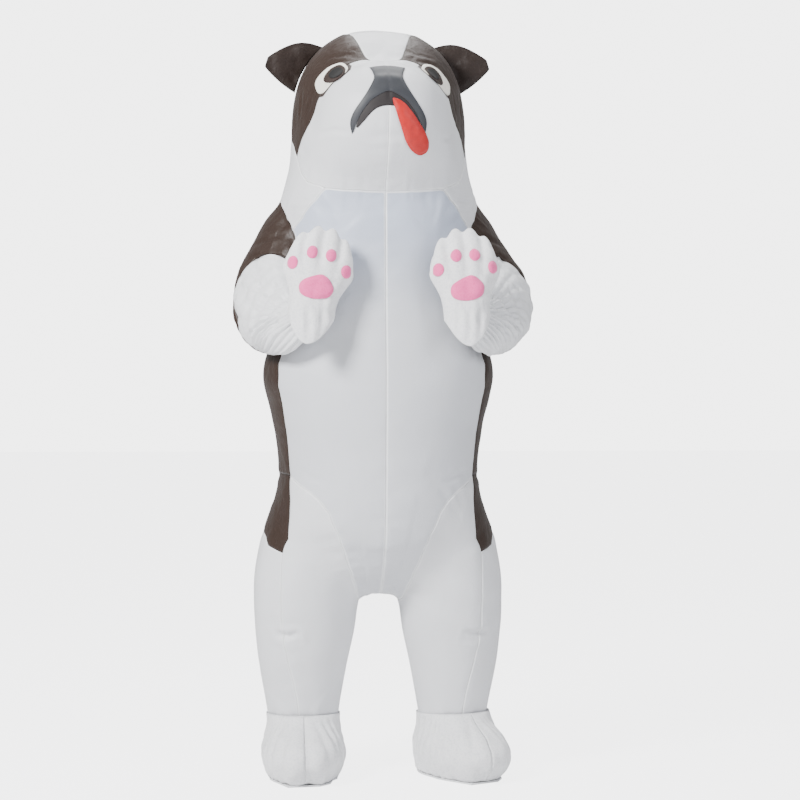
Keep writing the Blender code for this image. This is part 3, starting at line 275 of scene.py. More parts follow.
def finer(bm, name, levels, panels=False, corners="PRESERVE_CORNERS"):
    # triangles paired to quads, then subdivided smoothly
    bmesh.ops.join_triangles(bm, faces=bm.faces, cmp_materials=panels, angle_face_threshold=0.9,
                             angle_shape_threshold=1.4)
    mesh = bpy.data.meshes.new(name)
    bm.to_mesh(mesh)
    bm.free()
    made = bpy.data.objects.new(name, mesh)
    bpy.context.scene.collection.objects.link(made)
    soft = made.modifiers.new("smooth", "SUBSURF")
    soft.levels = soft.render_levels = levels
    soft.boundary_smooth = corners
    shown = made.evaluated_get(bpy.context.evaluated_depsgraph_get())
    fine = bpy.data.meshes.new_from_object(shown)
    made.modifiers.clear()
    made.data = fine
    return made


def read(mesh, what="co"):
    source = mesh.vertices if what == "co" else mesh.vertex_normals
    values = np.empty(len(mesh.vertices) * 3, dtype=np.float32)
    source.foreach_get("co" if what == "co" else "vector", values)
    return values.reshape(-1, 3).astype(float)


def write(mesh, points):
    mesh.vertices.foreach_set("co", np.ascontiguousarray(points, dtype=np.float32).ravel())
    mesh.update()


def edgesOf(mesh):
    ends = np.empty(len(mesh.edges) * 2, dtype=np.int32)
    mesh.edges.foreach_get("vertices", ends)
    return ends.reshape(-1, 2)


def seamEdges(mesh):
    # edges on a panel's border: between two panels, or with a face on one side only
    edgeOfLoop = np.empty(len(mesh.loops), dtype=np.int32)
    mesh.loops.foreach_get("edge_index", edgeOfLoop)
    panel = np.empty(len(mesh.polygons), dtype=np.int32)
    mesh.polygons.foreach_get("material_index", panel)
    size = np.empty(len(mesh.polygons), dtype=np.int32)
    mesh.polygons.foreach_get("loop_total", size)
    panelOfLoop = np.repeat(panel, size)
    low = np.full(len(mesh.edges), 9999)
    high = np.full(len(mesh.edges), -1)
    count = np.zeros(len(mesh.edges), dtype=int)
    np.minimum.at(low, edgeOfLoop, panelOfLoop)
    np.maximum.at(high, edgeOfLoop, panelOfLoop)
    np.add.at(count, edgeOfLoop, 1)
    return edgesOf(mesh)[(low != high) | (count == 1)]


def nearestSeam(points, seams):
    # distance to the nearest seam line and the place on it
    used = np.unique(seams)
    tree = kdtree.KDTree(len(used))
    for k, v in enumerate(used):
        tree.insert(points[v], k)
    tree.balance()
    beside = {int(v): [] for v in used}
    for a, b in seams:
        beside[int(a)].append(int(b))
        beside[int(b)].append(int(a))
    widest = max(len(b) for b in beside.values())
    others = np.array([[*beside[int(v)], *([int(v)] * (widest - len(beside[int(v)])))] for v in used])
    found = np.array([tree.find(p)[1] for p in points])
    start = points[used[found]]
    best, place = np.linalg.norm(points - start, axis=1), start.copy()
    for k in range(widest):
        way = points[others[found, k]] - start
        share = np.clip((((points - start) * way).sum(axis=1))
                        / np.maximum((way**2).sum(axis=1), 1e-12), 0, 1)
        spot = start + way * share[:, None]
        far = np.linalg.norm(points - spot, axis=1)
        closer = far < best
        best[closer], place[closer] = far[closer], spot[closer]
    return best, place


def wave(places, millimetres, seed=0.0):
    # smooth noise from -1 to 1 with bumps about this many millimetres apart
    k = perMetre(millimetres)
    shift = Vector((seed * 7.3, seed * 3.1, seed * 5.7))
    return np.array([noise.noise(Vector(p) * k + shift) for p in places]) * 1.6


def evened(values, edges, rounds=2):
    # a value at each vertex averaged with its neighbours
    count = np.zeros(len(values))
    np.add.at(count, edges.ravel(), 1)
    for _ in range(rounds):
        total = np.zeros(len(values))
        np.add.at(total, edges[:, 0], values[edges[:, 1]])
        np.add.at(total, edges[:, 1], values[edges[:, 0]])
        values = 0.5 * values + 0.5 * total / np.maximum(count, 1)
    return values


def creased(points, tree, creases):
    # troughs, or ridges where deep is below 0, along short lines laid on the surface; both=True mirrors one
    total = np.zeros(len(points))
    every = []
    for c in creases:
        every.append(c)
        if c.get("both"):
            every.append({**c, "line": [(-x, y, z) for x, y, z in c["line"]],
                          "deep": c["deep"] * c.get("other", 0.8)})
    for c in every:
        line = np.array(c["line"], float)
        lengths = np.concatenate([[0], np.cumsum(np.linalg.norm(np.diff(line, axis=0), axis=1))])
        at = np.linspace(0, lengths[-1], max(3, int(lengths[-1] / 0.004)))
        fine = np.stack([np.interp(at, lengths, line[:, k]) for k in range(3)], axis=1)
        fine = np.array([tree.find_nearest(Vector(p))[0][:] for p in fine])
        low, high = fine.min(axis=0) - 4 * c["wide"], fine.max(axis=0) + 4 * c["wide"]
        close = np.where(((points > low) & (points < high)).all(axis=1))[0]
        if not len(close):
            continue
        gap = np.linalg.norm(points[close][:, None] - fine[None], axis=2)
        nearest = gap.argmin(axis=1)
        far = gap[np.arange(len(close)), nearest]
        t = nearest / (len(fine) - 1)
        fade = np.sin(math.pi * (0.06 + 0.88 * t)) ** 0.7
        trough = np.exp(-(far / c["wide"]) ** 2)
        banks = 0.45 * np.exp(-((far - 1.9 * c["wide"]) / c["wide"]) ** 2)
        total[close] -= c["deep"] * fade * (trough - banks)
    return total


def treeOf(made):
    return BVHTree.FromPolygons([v.co.copy() for v in made.data.vertices],
                                [list(p.vertices) for p in made.data.polygons])


def keepValue(mesh, name, values):
    layer = mesh.attributes.new(name, "FLOAT", "POINT")
    layer.data.foreach_set("value", np.ascontiguousarray(values, dtype=np.float32))


def thinShell(made, thick):
    # the cloth's thickness, inwards
    wall = made.modifiers.new("wall", "SOLIDIFY")
    wall.thickness = thick
    wall.offset = -1.0
    wall.use_even_offset = False


def dress(made, look, node, name=None):
    made.data.materials.clear()
    made.data.materials.append(looks[look])
    made.data.shade_smooth()
    made.name = name or made.name
    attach(made, "root")
    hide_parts(node)
    return made


suit = dict(
    levels=3,
    thick=0.0006,
    weld=0.0009,
    pinch=0.0010, pinchWide=0.005,        # seams sit a little inside the air-filled form
    pucker=0.0019, puckerSize=22, puckerReach=0.012,
    ease=0.0019, easeSize=55, easeReach=0.040,
)
bodySides = ("left", "right")
panelLooks = {"belly": "nylonTaffetaWindow", "shoulder": "nylonTaffetaWhite", "side": "nylonTaffetaBrown",
              "back": "nylonTaffetaBrown", "hip": "nylonTaffetaBrown", "leg_outer": "nylonTaffetaWhite",
              "leg_inner": "nylonTaffetaWhite", "cheek": "nylonTaffetaCheek", "hood": "nylonTaffetaBrown",
              "sleeve": "nylonTaffetaBrown", "forearm": "nylonTaffetaSleeve"}
panelNames = [part + "_" + side for part in panelLooks for side in bodySides] + ["blaze"]


def trunkAxis(bm):
    return (0.0, 0.0, middleOf(bm).z)


def legAxis(bm):
    return (math.copysign(0.187, middleOf(bm).x), 0.0, middleOf(bm).z)


welded = bmesh.new()
for index, node in enumerate(panelNames):
    part = node.rsplit("_", 1)[0]
    inside = legAxis if part.startswith("leg") else middleOf if part in ("sleeve", "forearm") else trunkAxis
    skin = outerSkin(node, inside)
    for f in skin.faces:
        f.material_index = index
    carrier = bpy.data.meshes.new("carrier")
    skin.to_mesh(carrier)
    skin.free()
    welded.from_mesh(carrier)
    bpy.data.meshes.remove(carrier)
bmesh.ops.remove_doubles(welded, verts=welded.verts, dist=suit["weld"])
whole = finer(welded, "suit", suit["levels"], panels=True)
print("suit welded and smoothed,", len(whole.data.polygons), "faces")

shoulder = 1.36  # the frame's origin above the soles


def at(x, y, h):
    return (x, y, h - shoulder)


creases = [
    # knee folds across the front seams of the legs
    dict(line=[at(0.205, -0.125, 0.362), at(0.226, -0.118, 0.357), at(0.250, -0.098, 0.362)],
         wide=0.008, deep=0.0100, both=True, other=1.25),
    dict(line=[at(0.196, -0.128, 0.345), at(0.222, -0.120, 0.340), at(0.246, -0.100, 0.347)],
         wide=0.006, deep=0.0055, both=True),
    # the chin and the corners of the jaw
    dict(line=[at(-0.150, -0.230, 1.560), at(-0.115, -0.268, 1.566), at(-0.080, -0.290, 1.563)],
         wide=0.006, deep=0.0040),
    dict(line=[at(0.120, -0.255, 1.553), at(0.146, -0.235, 1.552), at(0.165, -0.205, 1.560)],
         wide=0.006, deep=0.0038),
    dict(line=[at(-0.050, -0.315, 1.552), at(0.0, -0.320, 1.545), at(0.050, -0.315, 1.550)],
         wide=0.012, deep=0.0015),
    # the brow and the brown sides of the face
    dict(line=[at(-0.141, -0.140, 1.767), at(-0.110, -0.160, 1.771), at(-0.079, -0.170, 1.772)],
         wide=0.004, deep=0.0028, both=True),
    dict(line=[at(-0.156, -0.150, 1.747), at(-0.120, -0.170, 1.752), at(-0.081, -0.190, 1.754)],
         wide=0.004, deep=0.0024, both=True, other=1.2),
    dict(line=[at(-0.181, -0.080, 1.684), at(-0.183, -0.090, 1.650), at(-0.183, -0.090, 1.620)],
         wide=0.006, deep=0.0030, both=True),
    dict(line=[at(-0.160, -0.140, 1.672), at(-0.168, -0.140, 1.645), at(-0.172, -0.130, 1.622)],
         wide=0.005, deep=0.0026, both=True),
    # shoulders
    dict(line=[at(0.150, -0.185, 1.415), at(0.185, -0.165, 1.412), at(0.225, -0.110, 1.415)],
         wide=0.0045, deep=0.0030, both=True),
    dict(line=[at(0.165, -0.180, 1.395), at(0.200, -0.150, 1.390), at(0.232, -0.090, 1.395)],
         wide=0.004, deep=0.0024, both=True),
    dict(line=[at(0.200, -0.120, 1.450), at(0.225, -0.060, 1.440), at(0.235, 0.000, 1.445)],
         wide=0.005, deep=0.0016, both=True),
    dict(line=[at(0.178, -0.172, 1.436), at(0.205, -0.140, 1.428), at(0.232, -0.085, 1.430)],
         wide=0.004, deep=0.0013, both=True),
    # the brown sleeves: a long fold down the elbow and short ones from its crook
    dict(line=[at(-0.305, -0.080, 1.268), at(-0.352, -0.060, 1.208), at(-0.340, -0.060, 1.140),
               at(-0.325, -0.080, 1.080)], wide=0.007, deep=0.0055, both=True, other=0.9),
    dict(line=[at(-0.262, -0.150, 1.283), at(-0.300, -0.120, 1.292), at(-0.335, -0.060, 1.288)],
         wide=0.006, deep=0.0045, both=True),
    dict(line=[at(-0.262, -0.150, 1.272), at(-0.290, -0.130, 1.258), at(-0.330, -0.090, 1.252)],
         wide=0.006, deep=0.0040, both=True),
    dict(line=[at(-0.240, -0.100, 1.330), at(-0.285, -0.080, 1.325), at(-0.310, -0.030, 1.310)],
         wide=0.007, deep=0.0030, both=True, other=1.2),
    # waist, where the legs join
    dict(line=[at(0.150, -0.215, 0.735), at(0.180, -0.190, 0.745), at(0.205, -0.160, 0.760)],
         wide=0.007, deep=0.0022, both=True),
    dict(line=[at(0.215, 0.060, 0.750), at(0.230, 0.000, 0.735), at(0.228, -0.060, 0.740)],
         wide=0.008, deep=0.0025, both=True),
]


def foldSuit(mesh):
    points, normals = read(mesh), read(mesh, "normal")
    edges, seams = edgesOf(mesh), seamEdges(mesh)
    far, place = nearestSeam(points, seams)
    fold = -suit["pinch"] * np.exp(-(far / suit["pinchWide"]) ** 2)
    reach = far / suit["puckerReach"]
    fold += suit["pucker"] * (wave(place, suit["puckerSize"])
                              + 0.5 * wave(place, suit["puckerSize"] * 0.45, 2)) * reach * np.exp(1 - reach)
    reach = far / suit["easeReach"]
    fold += suit["ease"] * wave(place, suit["easeSize"], 5) * reach * np.exp(1 - reach)
    fold = evened(fold, edges, 3)
    surface = treeOf(whole)
    fold += creased(points, surface, creases)
    fold += sleeveFolds(points, pointsOn(mesh, ("forearm",)))
    fold += creased(points, surface, [{**c, "both": True, "other": 1.1} for c in bagFolds])
    write(mesh, points + normals * evened(fold, edges, 1)[:, None])
    keepValue(mesh, "seamDistance", far)
    keepValue(mesh, "eyeDistance", eyeGap(points, pointsOn(mesh, ("cheek",))))


def eyeGap(points, wanted):
    # how far each wanted point is from the nearest eye
    edge = []
    for side in bodySides:
        skin = outerSkin("eye_" + side, (0.0, 0.3, 1.66 - shoulder))
        for e in skin.edges:
            edge += [e.verts[0].co.lerp(e.verts[1].co, k / 8) for k in range(8)]
        skin.free()
    tree = kdtree.KDTree(len(edge))
    for k, p in enumerate(edge):
        tree.insert(p, k)
    tree.balance()
    gap = np.full(len(points), 1.0)
    for k in np.where(wanted & (points[:, 2] > at(0, 0, 1.60)[2]))[0]:
        gap[k] = tree.find(points[k])[2]
    return gap


bags = {
    # the wrist, and the low end of the bag that hangs from it
    "left": dict(wrist=at(0.188, -0.285, 1.135), low=at(0.275, -0.140, 1.060)),
    "right": dict(wrist=at(-0.188, -0.285, 1.135), low=at(-0.265, -0.145, 1.060)),
}
gathers = dict(deep=0.0100, count=24, fine=0.0045, fineCount=52, start=0.010, full=0.055)


bagFolds = [
    # troughs from the gathered wrist down and round the outside of the right bag, mirrored on the left
    dict(line=[at(-0.236, -0.235, 1.225), at(-0.262, -0.205, 1.160), at(-0.262, -0.180, 1.090)],
         wide=0.0065, deep=0.0075),
    dict(line=[at(-0.245, -0.205, 1.245), at(-0.285, -0.175, 1.190), at(-0.292, -0.150, 1.110)],
         wide=0.0070, deep=0.0080),
    dict(line=[at(-0.262, -0.175, 1.262), at(-0.312, -0.140, 1.205), at(-0.318, -0.120, 1.120)],
         wide=0.0065, deep=0.0070),
    dict(line=[at(-0.285, -0.150, 1.262), at(-0.330, -0.110, 1.215), at(-0.338, -0.100, 1.150)],
         wide=0.0060, deep=0.0060),
    dict(line=[at(-0.225, -0.250, 1.190), at(-0.240, -0.225, 1.130), at(-0.235, -0.200, 1.075)],
         wide=0.0060, deep=0.0065),
    dict(line=[at(-0.300, -0.150, 1.170), at(-0.300, -0.140, 1.120), at(-0.280, -0.140, 1.080)],
         wide=0.0055, deep=-0.0050),
    dict(line=[at(-0.270, -0.195, 1.210), at(-0.280, -0.185, 1.150), at(-0.272, -0.165, 1.095)],
         wide=0.0050, deep=-0.0045),
]


def pointsOn(mesh, parts):
    # True for each vertex on a panel of these parts
    wanted = [k for k, node in enumerate(panelNames) if node.rsplit("_", 1)[0] in parts]
    on = np.zeros(len(mesh.vertices), dtype=bool)
    for face in mesh.polygons:
        if face.material_index in wanted:
            on[list(face.vertices)] = True
    return on


def runs(angle, places, count, seed):
    # long folds round an axis: round swells parted by narrow troughs, uneven in width and depth
    drift = np.array([noise.noise(Vector(p) * 1.1 + Vector((seed, 0, 0))) for p in places]) * 4.2
    depth = np.array([noise.noise(Vector(p) * 1.7 + Vector((0, seed, 9))) for p in places])
    swell = np.abs(np.sin(0.5 * count * angle + drift)) ** 0.7
    return (swell - 0.75) * np.clip(0.75 + 1.5 * depth, 0.15, 1.5)


def sleeveFolds(points, forearm):
    # gathers that fan out from the tight wrist over the baggy forearm
    total = np.zeros(len(points))
    for side, bag in bags.items():
        sign = 1 if side == "left" else -1
        wrist, low = np.array(bag["wrist"]), np.array(bag["low"])
        axis = (low - wrist) / np.linalg.norm(low - wrist)
        near = np.where(forearm & (points[:, 0] * sign > 0))[0]
        local = points[near] - wrist
        along = local @ axis
        flat = local - along[:, None] * axis
        up = np.array([0.0, 0.0, 1.0]) - axis[2] * axis
        up /= np.linalg.norm(up)
        across = np.cross(axis, up)
        angle = np.arctan2(flat @ up, flat @ across)
        ring = np.stack([np.cos(angle), np.sin(angle), along * 6 + sign], axis=1)
        rise = np.clip((np.linalg.norm(local, axis=1) - gathers["start"])
                       / (gathers["full"] - gathers["start"]), 0, 1)
        total[near] += gathers["deep"] * runs(angle, ring, gathers["count"], 3 + sign) * rise
        broad = np.clip(np.linalg.norm(flat, axis=1) / 0.09, 0.2, 1)
        total[near] += gathers["fine"] * runs(angle, ring, gathers["fineCount"], 8 + sign) * rise * broad
    return total


foldSuit(whole.data)
print("suit folded")

for index in range(len(panelNames)):
    part = panelNames[index].rsplit("_", 1)[0]
    whole.data.materials.append(looks[panelLooks.get(part, "nylonTaffetaWhite")])
suitTree = treeOf(whole)
bpy.ops.object.select_all(action="DESELECT")
whole.select_set(True)
bpy.context.view_layer.objects.active = whole
panelOf = whole.data.attributes.new("panel", "INT", "FACE")
codes = np.empty(len(whole.data.polygons), dtype=np.int32)
whole.data.polygons.foreach_get("material_index", codes)
panelOf.data.foreach_set("value", codes)
bpy.ops.object.mode_set(mode="EDIT")
bpy.ops.mesh.select_all(action="SELECT")
bpy.ops.mesh.separate(type="MATERIAL")
bpy.ops.object.mode_set(mode="OBJECT")
panels = {}
for made in list(bpy.context.selected_objects):
    code = made.data.attributes["panel"].data[0].value
    node = panelNames[code]
    made.data.attributes.remove(made.data.attributes["panel"])
    part = node.rsplit("_", 1)[0]
    dress(made, panelLooks.get(part, "nylonTaffetaWhite"), node, node + "_cloth")
    thinShell(made, suit["thick"])
    panels[node] = made
print("suit parted into", len(panels), "panels")


def loosePiece(node, look, inside, levels, thick, fold=None, pinch=0.0, pinchWide=0.004, slide=None):
    made = finer(outerSkin(node, inside), node + "_cloth", levels)
    mesh = made.data
    points, normals = read(mesh), read(mesh, "normal")
    far, place = nearestSeam(points, seamEdges(mesh))
    move = -pinch * np.exp(-(far / pinchWide) ** 2)
    if fold:
        move = move + fold(points, far, place)
    shift = slide(points) if slide else 0
    write(mesh, points + shift + normals * evened(move, edgesOf(mesh), 1)[:, None])
    keepValue(mesh, "seamDistance", far)
    dress(made, look, node)
    thinShell(made, thick)
    return made


ears = dict(levels=3, thick=0.0007, crumple=0.0022, size=30)


def earFolds(points, far, place):
    return ears["crumple"] * wave(points, ears["size"], 3) * np.clip(far / 0.012, 0, 1)


for side in bodySides:
    sign = 1 if side == "left" else -1
    for part, y in (("front", 0.060), ("back", -0.02)):
        loosePiece("ear_" + part + "_" + side, "nylonTaffetaEar", (0.22 * sign, y, 0.40), ears["levels"],
                   ears["thick"], earFolds)
print("ears made")

gloves = dict(levels=3, thick=0.0012, lump=0.0016, lumpSize=22, cuffFold=0.0042)
gloveMiddles = {"left": at(0.1846, -0.286, 1.19), "right": at(-0.1698, -0.2856, 1.19)}
gloveTrees = {}
for side in bodySides:
    middle = gloveMiddles[side]

    def gloveFolds(points, far, place):
        low = np.clip((middle[2] - 0.012 - points[:, 2]) / 0.05, 0, 1)
        across = np.stack([points[:, 0], points[:, 1] * 0.3, points[:, 2] * 0.22], axis=1)
        return (gloves["lump"] * wave(points, gloves["lumpSize"], 4) * np.clip(far / 0.01, 0, 1)
                + gloves["cuffFold"] * wave(across, 17, 6) * low * np.clip(far / 0.012, 0.25, 1))

    made = [loosePiece("glove_" + part + "_" + side, "shortPlushWhite", middle, gloves["levels"],
                       gloves["thick"], gloveFolds, 0.001) for part in ("palm", "back")]
    gloveTrees[side] = treeOf(made[0])
print("gloves made")

boots = dict(levels=3, thick=0.0012, lump=0.0020, lumpSize=26, gather=0.0085, count=22)
for side in bodySides:
    sign = 1 if side == "left" else -1

    def bootFolds(points, far, place):
        angle = np.arctan2(points[:, 0] - sign * 0.187, -(points[:, 1] + 0.03))
        height = points[:, 2] + shoulder
        ring = np.stack([np.cos(angle), np.sin(angle), height * 4 + sign], axis=1)
        body = np.clip((0.150 - height) / 0.03, 0, 1) * np.clip((height + 0.004) / 0.016, 0, 1)
        cuff = np.clip((height - 0.138) / 0.010, 0, 1)
        return (boots["gather"] * runs(angle, ring, boots["count"], 5 + sign) * body
                + boots["lump"] * wave(points, boots["lumpSize"], 8) * body + 0.0034 * cuff)

    def cuffLift(points):
        # the cuff's edge laps a little way up the leg
        return np.clip((points[:, 2] + shoulder - 0.138) / 0.010, 0, 1)[:, None] * np.array([0, 0, 0.005])

    for part in ("outer", "inner"):
        loosePiece("boot_" + part + "_" + side, "shortPlushWhite", (0.187 * sign, -0.03, 0.07 - shoulder),
                   boots["levels"], boots["thick"], bootFolds, 0.0015, 0.006, slide=cuffLift)
print("boots made")


def lapped(bm, reach):
    # the skin's upper edges carried on by this much, to lie under the piece above them
    edges = [e for e in bm.edges if len(e.link_faces) == 1]
    way = {}
    for e in edges:
        out = (e.verts[1].co - e.verts[0].co).cross(e.link_faces[0].normal).normalized()
        out *= 1 if out.dot((e.verts[0].co + e.verts[1].co) / 2
                            - e.link_faces[0].calc_center_median()) > 0 else -1
        for v in e.verts:
            way[v] = way.get(v, Vector()) + out
    for v, out in way.items():
        if out.normalized().z > 0.15:
            v.co += out.normalized() * reach
    return bm


def patchPiece(node, look, base, inside, lift, puff=0.0, rim=0.004, thick=0.0008, levels=3,
               fold=None, lap=0.0, corners="ALL"):
    # cloth sewn on: laid on the finished surface below it and lifted clear of it
    made = finer(lapped(outerSkin(node, inside), lap), node + "_cloth", levels, corners=corners)
    mesh = made.data
    points = read(mesh)
    far, place = nearestSeam(points, seamEdges(mesh))
    rise = lift + puff * (1 - np.exp(-(far / rim) ** 2))
    if fold:
        rise = rise + fold(points, far, place)
    landed = points.copy()
    for k, p in enumerate(points):
        spot, normal, _, _ = base.find_nearest(Vector(p))
        landed[k] = spot + normal * rise[k]
    write(mesh, landed)
    keepValue(mesh, "seamDistance", far)
    dress(made, look, node)
    thinShell(made, thick)
    return made


headBack = (0.0, 0.3, 1.66 - shoulder)
patchPiece("nose", "wovenGrey", suitTree, headBack, 0.0020, 0.0008, corners="PRESERVE_CORNERS")
# the mouth: dark cloth with painted shade from under the lip
patchPiece("mouth", "wovenDarkWithShade", suitTree, headBack, 0.0011, 0.0, lap=0.0045, corners="PRESERVE_CORNERS")
patchPiece("tongue", "wovenRed", suitTree, headBack, 0.0034, 0.0030, 0.007,
           fold=lambda points, far, place: 0.0009 * wave(points, 13, 9))
for side in bodySides:
    patchPiece("eye_" + side, "wovenCream", suitTree, headBack, 0.0014, 0.0006)
    patchPiece("iris_" + side, "wovenIris", suitTree, headBack, 0.0030, 0.0003)
    patchPiece("pupil_" + side, "wovenBlack", suitTree, headBack, 0.0042, 0.0003)
    back = (gloveMiddles[side][0], 0.3, gloveMiddles[side][2])
    patchPiece("palm_pad_" + side, "shortPlushPink", gloveTrees[side], back, 0.0016, 0.0040, 0.006, 0.001)
    for k in range(1, 5):
        patchPiece("toe_pad_%s_%d" % (side, k), "shortPlushPink", gloveTrees[side], back,
                   0.0014, 0.0026, 0.004, 0.001)
patchPiece("zip", "zipTape", suitTree, (0.0, -0.3, 1.2 - shoulder), 0.0012, corners="PRESERVE_CORNERS")
print("face, pads and zip laid on")

# hard pieces keep the solid's own form
for node in ("zip_slider", "fan_ring", "sole_left", "sole_right"):
    bm = bmesh.new()
    bm.from_mesh(nodes[node].data)
    bmesh.ops.remove_doubles(bm, verts=bm.verts, dist=0.00002)
    mesh = bpy.data.meshes.new(node)
    bm.to_mesh(mesh)
    bm.free()
    made = bpy.data.objects.new(node + "_piece", mesh)
    bpy.context.scene.collection.objects.link(made)
    dress(made, "hemBinding" if node.startswith("sole") else "mouldedNylonBlack", node)
    mesh.shade_flat()

fan = dict(middle=(0.1344, 0.2301, -0.4607), way=(0.457, 0.884, -0.097),
           rings=(0.0130, 0.0235, 0.0340, 0.0440), outer=0.0500, hub=0.0075, spokes=8, wire=0.0010)


def fanGuard():
    # moulded guard: a hub, round wires and straight spokes
    bm = bmesh.new()
    for radius in (*fan["rings"], fan["outer"]):
        section = bmesh.ops.create_circle(bm, segments=8, radius=fan["wire"])["verts"]
        bmesh.ops.rotate(bm, verts=section, matrix=Matrix.Rotation(math.radians(90), 3, "X"))
        bmesh.ops.translate(bm, verts=section, vec=(radius, 0, 0))
        edges = list({e for v in section for e in v.link_edges})
        bmesh.ops.spin(bm, geom=section + edges, cent=(0, 0, 0), axis=(0, 0, 1), angle=math.tau, steps=48,
                       use_merge=True)
    for k in range(fan["spokes"]):
        spoke = bmesh.ops.create_cube(bm, size=1.0)["verts"]
        bmesh.ops.scale(bm, verts=spoke,
                        vec=(fan["outer"] - fan["hub"] * 0.5, fan["wire"] * 1.8, fan["wire"] * 1.6))
        bmesh.ops.translate(bm, verts=spoke, vec=((fan["outer"] + fan["hub"] * 0.5) / 2, 0, 0))
        bmesh.ops.rotate(bm, verts=spoke, matrix=Matrix.Rotation(math.tau * k / fan["spokes"], 3, "Z"))
    bmesh.ops.create_cone(bm, cap_ends=True, segments=24, radius1=fan["hub"], radius2=fan["hub"] * 0.85,
                          depth=fan["wire"] * 3)
    turn = Vector(fan["way"]).normalized().to_track_quat("Z", "Y").to_matrix()
    bmesh.ops.rotate(bm, verts=bm.verts, matrix=turn)
    bmesh.ops.translate(bm, verts=bm.verts, vec=fan["middle"])
    bmesh.ops.recalc_face_normals(bm, faces=bm.faces)
    mesh = bpy.data.meshes.new("fan_guard")
    bm.to_mesh(mesh)
    bm.free()
    made = bpy.data.objects.new("fan_guard_piece", mesh)
    bpy.context.scene.collection.objects.link(made)
    dress(made, "mouldedNylonBlack", "fan_guard")


fanGuard()

teeth = dict(top=1.575, bottom=0.805, step=0.0052, wide=0.0062, tall=0.0030, deep=0.0016, sink=0.0003)


def zipTeeth():
    # moulded teeth down the middle of the tape, each laid on the tape's own surface
    bm = bmesh.new()
    tape = treeOf(bpy.data.objects["zip_cloth"])
    height = teeth["top"]
    while height > teeth["bottom"]:
        spot, normal, _, _ = tape.ray_cast(Vector((0, 0.6, height - shoulder)), Vector((0, -1, 0)))
        if spot:
            turn = normal.to_track_quat("Z", "Y").to_matrix()
            tooth = bmesh.ops.create_cube(bm, size=1.0)["verts"]
            bmesh.ops.scale(bm, verts=tooth, vec=(teeth["wide"], teeth["tall"], teeth["deep"]))
            bmesh.ops.rotate(bm, verts=tooth, matrix=turn)
            bmesh.ops.translate(bm, verts=tooth, vec=spot + normal * (teeth["deep"] / 2 - teeth["sink"]))
        height -= teeth["step"]
    mesh = bpy.data.meshes.new("zip_teeth")
    bm.to_mesh(mesh)
    bm.free()
    made = bpy.data.objects.new("zip_teeth", mesh)
    bpy.context.scene.collection.objects.link(made)
    mesh.materials.append(looks["mouldedNylonBlack"])
    mesh.shade_flat()
    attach(made, "root")


zipTeeth()
print("plastic pieces made")

cuts = {
    # flat width and length in metres, flat area in square metres, how it is held
    "back": (0.34, 0.98, 0.270, "stretched"),
    "belly": (0.30, 0.96, 0.225, "stretched"),
    "blaze": (0.20, 0.62, 0.092, "stretched"),
    "boot_inner": (0.21, 0.40, 0.064, "gathered"),
    "boot_outer": (0.21, 0.40, 0.064, "gathered"),
    "cheek": (0.30, 0.38, 0.088, "stretched"),
    "ear_front": (0.10, 0.15, 0.0085, "stretched"),
    "ear_back": (0.10, 0.15, 0.0085, "stretched"),
    "eye": (0.085, 0.125, 0.0080, "laid"),
    "forearm": (0.22, 0.46, 0.074, "gathered"),
    "glove_back": (0.18, 0.24, 0.031, "hung"),
    "glove_palm": (0.20, 0.27, 0.039, "hung"),
    "hip": (0.22, 0.42, 0.068, "stretched"),
    "hood": (0.32, 0.52, 0.125, "stretched"),
    "iris": (0.060, 0.115, 0.0052, "laid"),
    "leg_inner": (0.32, 0.72, 0.170, "stretched"),
    "leg_outer": (0.30, 0.70, 0.153, "stretched"),
    "mouth": (0.07, 0.10, 0.0040, "laid"),
    "nose": (0.12, 0.14, 0.0115, "laid"),
    "palm_pad": (0.060, 0.090, 0.0042, "laid"),
    "pupil": (0.040, 0.080, 0.0022, "laid"),
    "shoulder": (0.20, 0.34, 0.045, "stretched"),
    "side": (0.20, 0.62, 0.088, "stretched"),
    "sleeve": (0.35, 0.48, 0.118, "stretched"),
    "toe_pad": (0.030, 0.036, 0.00085, "laid"),
    "tongue": (0.07, 0.14, 0.0065, "laid"),
    "zip": (0.030, 0.80, 0.0200, "laid"),
}
for node in nodes:
    piece = bpy.data.objects.get(node + "_cloth")
    if piece is None:
        continue
    part = next(p for p in sorted(cuts, key=len, reverse=True) if node.startswith(p))


studio = dict(floor="#F2F2F3", background="#FFFFFF", azimuth=-4.5, distance=4.8, height=0.93, wide=2.0,
              shift=22 / 800)
floorMesh = bpy.data.meshes.new("floor")
bm = bmesh.new()
bmesh.ops.create_grid(bm, x_segments=1, y_segments=1, size=30)
bmesh.ops.translate(bm, verts=bm.verts, vec=(0, 0, -shoulder - 0.0005))
bm.to_mesh(floorMesh)
bm.free()
floor = bpy.data.objects.new("floor", floorMesh)
bpy.context.scene.collection.objects.link(floor)
paper = bpy.data.materials.new("studioPaper")
paper.use_nodes = True
paper.node_tree.nodes["Principled BSDF"].inputs["Base Color"].default_value = hexColour(studio["floor"])
paper.node_tree.nodes["Principled BSDF"].inputs["Roughness"].default_value = 0.9
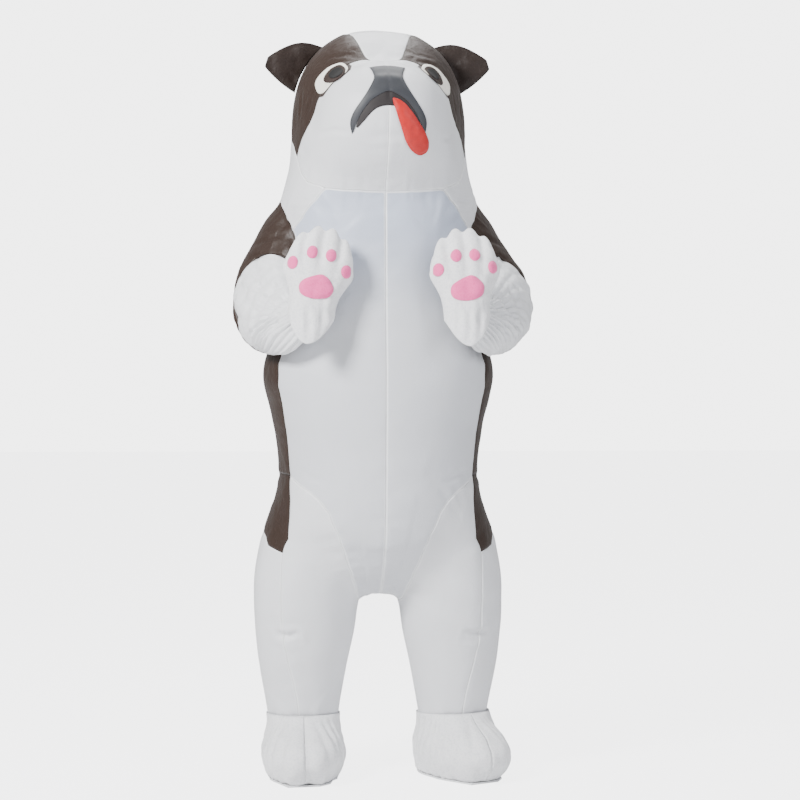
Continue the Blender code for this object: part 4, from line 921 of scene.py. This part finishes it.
# the paper is lit evenly by its own lamps, so the camera sees it pale with only a faint shadow
seen = addNode(paper.node_tree, "ShaderNodeLightPath").outputs["Is Camera Ray"]
even = addNode(paper.node_tree, "ShaderNodeMath", {0: seen, 1: 0.6}, operation="MULTIPLY")
glow = addNode(paper.node_tree, "ShaderNodeEmission", {"Color": hexColour(studio["floor"]), "Strength": 7.6})
blend = addNode(paper.node_tree, "ShaderNodeMixShader", {0: even.outputs["Value"]})
paper.node_tree.links.new(paper.node_tree.nodes["Principled BSDF"].outputs["BSDF"], blend.inputs[1])
paper.node_tree.links.new(glow.outputs["Emission"], blend.inputs[2])
paper.node_tree.links.new(blend.outputs["Shader"], paper.node_tree.nodes["Material Output"].inputs["Surface"])
floorMesh.materials.append(paper)

world = bpy.data.worlds.new("studio")
bpy.context.scene.world = world
world.use_nodes = True
sky = world.node_tree.nodes["Background"]
sky.inputs["Color"].default_value = hexColour(studio["background"])
seen = addNode(world.node_tree, "ShaderNodeLightPath").outputs["Is Camera Ray"]
power = addNode(world.node_tree, "ShaderNodeMapRange", {"Value": seen, "To Min": 0.42, "To Max": 4.6})
world.node_tree.links.new(power.outputs["Result"], sky.inputs["Strength"])

lamps = {
    # place, size, watts
    "key": dict(place=(-3.0, -2.9, 1.9), size=1.2, power=390, colour="#FFFFFF"),
    "fill": dict(place=(2.6, -3.0, 0.6), size=2.2, power=62, colour="#F4F7FF"),
    "top": dict(place=(0.3, 0.8, 3.0), size=2.0, power=110, colour="#FFFFFF"),
}
for name, facts in lamps.items():
    light = bpy.data.lights.new(name, "AREA")
    light.size = facts["size"]
    light.energy = facts["power"]
    light.color = hexColour(facts["colour"])[:3]
    lamp = bpy.data.objects.new(name, light)
    bpy.context.scene.collection.objects.link(lamp)
    lamp.location = facts["place"]
    lamp.rotation_mode = "QUATERNION"
    lamp.rotation_quaternion = (Vector((0, 0, -0.3)) - lamp.location).to_track_quat("-Z", "Y")

turn = math.radians(studio["azimuth"])
camera = bpy.data.objects.new("camera", bpy.data.cameras.new("camera"))
bpy.context.scene.collection.objects.link(camera)
away = Vector((math.sin(turn), -math.cos(turn), 0.0))
camera.location = away * studio["distance"] + Vector((0, 0, studio["height"] - shoulder))
camera.rotation_mode = "QUATERNION"
camera.rotation_quaternion = (-away).to_track_quat("-Z", "Y")
camera.data.sensor_width = 36.0
camera.data.lens = 36.0 * studio["distance"] / studio["wide"]
camera.data.shift_x = studio["shift"]
bpy.context.scene.camera = camera
print("studio ready")
